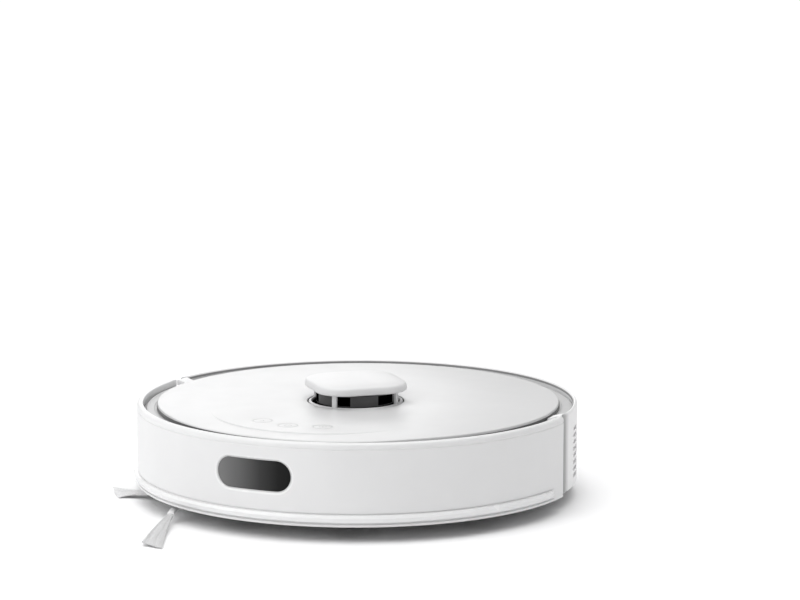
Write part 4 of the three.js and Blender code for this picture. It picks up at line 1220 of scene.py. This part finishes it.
def brush_core_rod():
    """The roller's core with a keyed driven end and a bearing end, each behind a hair guard disc."""
    shape = lathe_solid([(3.4, -87.9), (3.5, -87.5), (3.5, -79.0), (7.6, -78.6), (7.9, -78.0), (7.9, -76.4),
                         (7.6, -76.2), (7.6, 76.2), (7.9, 76.4), (7.9, 78.0), (7.6, 78.6), (3.5, 79.0), (3.5, 85.0),
                         (3.1, 85.5)], 48)
    for i in range(4):
        shape.box(3.2, 3.85, -0.6, 0.6, -87.6, -82.5, 0.15, TAU * i / 4)
    core = shape.along_x(0, *BRUSH_AXLE)
    piece("brush_core_rod", core, "dark_plastic", "main_brush", "main_brush_core")


def bar_top(y):
    """Top of the guard's cross bars: just clear of the turning brush."""
    reach = BRUSH_SWEEP ** 2 - (y - BRUSH_AXLE[0]) ** 2
    return min(10.6, BRUSH_AXLE[1] - math.sqrt(reach)) if reach > 0 else 10.6


def guard_frame():
    """The brush's lift-out guard: a frame with rounded edges, cross bars, and two finger tabs with grip ridges."""
    shape = Shape()
    bar_bottom, bar_low = 9.05, 9.12
    bar_faces = [(0, 3, 2, 1), (4, 5, 6, 7), (0, 1, 5, 4), (1, 2, 6, 5), (2, 3, 7, 6), (3, 0, 4, 7)]
    for y0, y1 in ((0.8, 5.6), (42.4, 47.0)):
        shape.box(-80.8, 80.8, y0, y1, 9.1, 11.5, 0.5)
    for x0, x1 in ((-80.7, -75.8), (75.8, 80.7)):
        shape.box(x0, x1, 4.4, 43.6, 9.18, 11.4, 0.5)
    stations = spaced(4.0, 44.0, 1.6)
    for x in (-52, -26, 0, 26, 52):
        for y0, y1 in zip(stations, stations[1:]):
            a, b = bar_top(y0), bar_top(y1)
            if max(a, b) >= 9.4:
                corners = ((x - 0.8, y0, a), (x + 0.8, y0, a), (x + 0.8, y1, b), (x - 0.8, y1, b))
                points = [(cx, cy, bar_bottom) for cx, cy, _ in corners]
                points += [(cx, cy, max(top, bar_low)) for cx, cy, top in corners]
                shape.add(points, bar_faces)
    for x in (-62.0, 62.0):
        for i in range(5):
            shape.box(x - 5.0, x + 5.0, 43.0 + 0.75 * i, 43.35 + 0.75 * i, 8.95, 9.3, 0.1)
    piece("brush_guard_frame", shape, "dark_plastic", "chassis", "brush_guard")


# ---- Underside ----
SCREW_PLACES = [(-52.0, -118.0), (36.0, -112.0)]
SCREW_PLACES += [(side * x, y) for x, y in ((88.0, -40.0), (88.0, 60.0), (52.0, 140.0), (100.0, -88.0), (130.0, 66.0))
                 for side in (-1, 1)]
SCREW_Z = 8.9
RIB_TOP = 9.8


def screw_head(radius, z, depth=0.5):
    """A low domed screw head, facing down from height z, with a black cross where its recess would be: painted shade
    for the recess.
    """
    shape = lathe_solid([(radius, z + 0.8), (radius, z + 0.3), (radius * 0.8, z + 0.06), (radius * 0.5, z)], 28)
    long, wide = radius * 0.5, radius * 0.16
    for turn in (0.0, QUARTER):
        arm = slab([(-long, -wide), (long, -wide), (long, wide), (-long, wide)], z - 0.02, z + depth, look=1)
        shape.join(arm, turn)
    return shape


def underside_details():
    """Screws in shallow rings, rubbing rails, a collar round the side brush and the pad's cross ribs."""
    metal, plate = Shape(), Shape()
    for x, y in SCREW_PLACES:
        metal.join(screw_head(2.6, SCREW_Z), 0.4 * x, (x, y, 0))
    piece("base_screws", metal, "steel foot_black", "chassis")
    screw = revolved([(3.1, 9.0, 0.2), (4.6, 9.0, 0.3), (4.8, 9.7, 0), (3.1, 9.7, 0)], sides=40, steps=3)
    side_brush = revolved([(13.4, 9.0, 0.3), (15.2, 8.9, 0.4), (16.0, 9.7, 0), (13.4, 9.7, 0)], sides=72, steps=3)
    front_wheel = revolved([(17.4, 9.0, 0.3), (19.4, 8.9, 0.4), (20.2, 9.7, 0), (17.4, 9.7, 0)], sides=72, steps=3)
    for collar, places in ((screw, SCREW_PLACES), (side_brush, [SIDE_HUB]), (front_wheel, [(0, CASTER_Y)])):
        for x, y in places:
            plate.join(collar, 0, (x, y, 0))
    for x0, x1 in ((-93.6, -90.0), (90.0, 93.6)):
        plate.box(x0, x1, -4.0, 52.0, 8.7, RIB_TOP, 0.4)
    for y in (52.5, 57.0):
        plate.box(-70, 70, y, y + 1.6, 8.8, RIB_TOP, 0.4)
    for x in spaced(-56, 56, 8):
        plate.box(x - 0.6, x + 0.6, 86.5, 129.5, 8.8, 9.3, 0.25)
    for low, high in ((-131.1, -94.4), (94.4, 131.1)):
        for y0, y1 in ((-27.6, -25.9), (54.2, 55.9)):
            plate.box(low, high, y0, y1, 8.9, RIB_TOP, 0.3)
        for x0, x1 in ((low, low + 1.4), (high - 1.4, high)):
            plate.box(x0, x1, -27.6, 55.9, 8.9, RIB_TOP, 0.3)
    piece("base_ribs", plate, "light_grey", "chassis")


def battery_hatch():
    """The battery door with rounded edges, a finger scoop, grip ridges and its screws."""
    shape, metal = Shape(), Shape()
    shape.box(-36.5, 36.5, -66.5, -4.5, 9.3, 12.0, 0.6)
    for i in range(6):
        shape.box(-9.0, 9.0, -14.0 + 1.3 * i, -13.5 + 1.3 * i, 8.95, 9.5, 0.15)
    for y in (-60.0, -20.0):
        shape.box(-30.0, 30.0, y, y + 1.2, 9.05, 9.5, 0.2)
    for x in (-30.5, 30.5):
        for turn, y in ((0.5, -11.0), (0.9, -52.0)):
            metal.join(screw_head(2.3, SCREW_Z), turn, (x, y, 0))
    piece("battery_hatch", shape, "dark_plastic", "chassis", "battery_door")
    piece("battery_hatch_screws", metal, "steel foot_black", "chassis")


def cliff_sensor(number):
    """A smoked window over a pair of round lenses, held in a raised bezel."""
    name = f"cliff_window_{number}"
    low, high = node_box(name)
    middle = (low + high) / 2
    window, lenses = Shape(), Shape()
    window.box(low.x, high.x, low.y, high.y, 9.5, 14.0, 0.5)
    for x in (middle.x - 3.4, middle.x + 3.4):
        lenses.join(lathe_solid([(2.3, 9.6), (2.3, 9.35), (1.8, 9.1), (0.9, 8.96)], 28), 0, (x, middle.y, 0))

    def outline(grow, corner):
        return rectangle(low.x - grow, high.x + grow, low.y - grow, high.y + grow, corner, 4)

    outer, inner = outline(1.6, 1.6), outline(0.2, 0.9)
    rings = ((outer, 9.7), (outer, BASE_BOTTOM), (inner, BASE_BOTTOM), (inner, 9.7))
    bezel = Shape([(x, y, z) for ring, z in rings for x, y in ring], hoops(4, len(outer), closed=True))
    piece(name + "_glass", window, "smoked_window", "chassis", name)
    piece(name + "_lenses", lenses, "window_black", "chassis")
    piece(name + "_bezel", bezel, "dark_plastic", "chassis")


# ---- Dustbin ----
BIN_EDGE = edge_angle(89.2)
PORT_EDGE = edge_angle(22.0)
NOTCH_EDGE = edge_angle(14.3)
PORT_HEIGHTS = (21.0, 41.0)
NOTCH_BOTTOM = 43.7


def bin_face():
    """The bin's rear wall, which carries on the round body, with its emptying port and the release's notch."""
    port, notch = (180 - PORT_EDGE, 180 + PORT_EDGE), (180 - NOTCH_EDGE, 180 + NOTCH_EDGE)
    angles = merged_lines(spaced(180 - BIN_EDGE, 180 + BIN_EDGE, 1.25), [*port, *notch])
    heights = [14.0, 17.5, 21.0, 26.0, 31.0, 36.0, 41.0, NOTCH_BOTTOM, 46.0, 49.4]
    holes = [(*port, *PORT_HEIGHTS), (*notch, NOTCH_BOTTOM, BIN_TOP)]
    top = [(159.8, 49.75), (159.4, 49.95), (156.3, 49.95)]
    bottom = [(156.0, 13.4), (156.6, 12.65), (159.0, 12.65), (159.7, 13.1)]
    wall = curved_wall(BODY_RADIUS, 156.0, angles, heights, holes, top, bottom)
    for z0, z1 in ((19.6, 21.0), (41.0, 42.4)):
        lip = [(159.6, z0, 0), (159.98, z0 + 0.3, 0.1), (159.98, z1 - 0.3, 0.1), (159.6, z1, 0)]
        wall.join(revolved(lip, spaced(port[0] - 0.5, port[1] + 0.5, 1), steps=2))
    piece("bin_rear_wall", wall, "white_satin", "dustbin", "bin_body")


def bin_tub():
    """The bin's floor, side walls and front wall, with the dust mouth, the air mouth and stiffening ribs."""
    shape = Shape()
    floor_top = 14.6
    side = BIN_HALF_WIDTH
    shape.box(-side, side, BIN_FRONT, 128.5, BIN_FLOOR, floor_top, 0.6)
    floor = [at(a, 156.4) for a in spaced(180 - BIN_EDGE + 0.3, 180 + BIN_EDGE - 0.3, 1.5)]
    shape.join(slab([(side, 126.5), *floor, (-side, 126.5)], BIN_FLOOR, floor_top, 0.3, 2))
    for sign in (-1, 1):
        shape.box(sign * 86.0, sign * side, BIN_FRONT, 133.4, BIN_FLOOR, BIN_TOP, 0.5)
        for y in (80.0, 98.0, 116.0):
            shape.box(sign * 85.2, sign * 86.2, y, y + 1.4, 14.4, 46.0, 0.3)
    # The front wall's bars round its two mouths: x0, x1, z0 and z1.
    bars = [(-side, -50.0, BIN_FLOOR, BIN_TOP), (50.0, side, BIN_FLOOR, 41.0), (-50.2, 50.2, BIN_FLOOR, 21.0),
            (-50.2, 46.2, 36.8, BIN_TOP), (84.0, side, 40.8, BIN_TOP), (46.0, 84.2, 48.2, BIN_TOP),
            (45.6, 50.4, 36.8, 41.2)]
    for x0, x1, z0, z1 in bars:
        shape.box(x0, x1, BIN_FRONT, 63.4, z0, z1, 0.25)
    piece("bin_tub", shape, "white_satin", "dustbin")


def bin_top():
    """The bin's lid with a rolled edge and a raised grip rib along the front."""
    side = BIN_HALF_WIDTH
    edge = [at(a, 159.9) for a in spaced(180 - BIN_EDGE, 180 + BIN_EDGE, 1.25)]
    shape = slab([(side, 61.7), (side, 128.2), *edge, (-side, 128.2), (-side, 61.7)], 50.35, 52.9, 0.4)
    for y in (70.0, 74.0):
        shape.box(-40.0, 40.0, y, y + 1.4, 52.6, 52.98, 0.15)
    piece("bin_lid_panel", shape, "white_satin", "dustbin", "bin_lid")


def bin_latch():
    """The release button in the notch, with grip ridges, and the ribbed emptying flap on its two hinge pins."""
    face = spaced(180 - NOTCH_EDGE + 0.15, 180 + NOTCH_EDGE - 0.15, 0.7)
    corners = [(157.4, 44.1, 0), (159.2, 44.1, 0.5), (159.7, 45.0, 0.5), (159.7, 48.6, 0.5), (159.2, 49.5, 0.5),
               (157.4, 49.5, 0)]
    shape = revolved(corners, face, steps=3)
    for z in (45.6, 46.7, 47.8):
        rib = [(159.6, z - 0.3, 0), (159.95, z - 0.1, 0.1), (159.95, z + 0.1, 0.1), (159.6, z + 0.3, 0)]
        shape.join(revolved(rib, spaced(180 - 3.6, 180 + 3.6, 0.7), steps=2))
    piece("bin_release_button", shape, "light_grey", "bin_release", "bin_release")
    flap = Shape()
    flap.box(-21.0, 21.0, 155.65, 156.6, 21.6, 40.4, 0.3)
    for z in (24.0, 27.5, 31.0, 34.5):
        flap.box(-19.5, 19.5, 156.4, 157.1, z - 0.45, z + 0.45, 0.2)
    for sign in (-1, 1):
        flap.join(lathe_solid([(0.6, 18.0), (0.6, 21.2)], 16).along_x(0, 156.4, 39.8, sign))
    piece("port_flap", flap, "dark_plastic", "evacuation_flap", "evacuation_flap")


def charge_plate(word):
    """A nickel charging contact with pressed edges and a shallow dimple ring."""
    name = "charge_contact_" + word
    low, high = node_box(name)
    shape = Shape()
    shape.box(low.x, high.x, low.y, high.y, low.z, high.z, 0.35)
    x, centre = (low.x + high.x) / 2, (low.z + high.z) / 2
    for half in (4.6, 3.6):
        for z in (centre - half * 0.6, centre + half * 0.6):
            shape.box(x - half, x + half, high.y - 0.1, high.y + 0.18, z - 0.2, z + 0.2, 0.1)
    piece("contact_" + word, shape, "nickel", "chassis", name)


# ---- CAD nodes that stay ----
SLOT_LOOKS = {  # for the slots whose look has another name
    "smoked": "smoked_window",
    "rubber_tyre": "tyre_rubber",
    "brush_blades": "blade_rubber",
    "bristle": "nylon_bristle",
    "board": "circuit_board",
    "battery": "battery_wrap",
    "filter": "filter_pleats",
}


def dress_nodes():
    """Gives every CAD node the material of its slot."""
    slots = {s["node"]: s["material_slot"] for s in frame["record"]["subparts"]}
    for name, node in frame["nodes"].items():
        look = SLOT_LOOKS.get(slots[name], slots[name])
        node.data.materials.clear()
        node.data.materials.append(LOOKS[look].material)


# ---- Building ----
make_camera()
make_floor()
make_dome()
soft_light("key", 2.5, 0.7, 0.7, from_view(-0.74, -0.48, 0.6), (0, 0, 0.03))
soft_light("backdrop", 4.4, 1.0, 0.9, from_view(-0.4, 3.0, 0.8), from_view(0, 0, 0.07))
bpy.context.scene.view_settings.view_transform = "Standard"

BUTTONS = {word: node_middle("button_" + word) for word in ("left", "middle", "right")}
for build in (top_cover, cover_band, deck_ring, rear_shell, rim_seam, vent_mesh, bumper_shell, bumper_window,
              bumper_strip, turret_cap, turret_base, turret_linings, lidar_rotor, side_brush_hub):
    build()
for word in BUTTONS:
    button(word)
for number in range(3):
    side_bristles(number)
for number in range(1, 5):
    cliff_sensor(number)
for side, word in ((-1, "left"), (1, "right")):
    wheel_tyre(side, word)
    wheel_hub(side, word)
    charge_plate(word)
for build in (caster, brush_blades, brush_tufts, brush_core_rod, guard_frame, underside_details, battery_hatch,
              bin_face, bin_tub, bin_top, bin_latch):
    build()
dress_nodes()
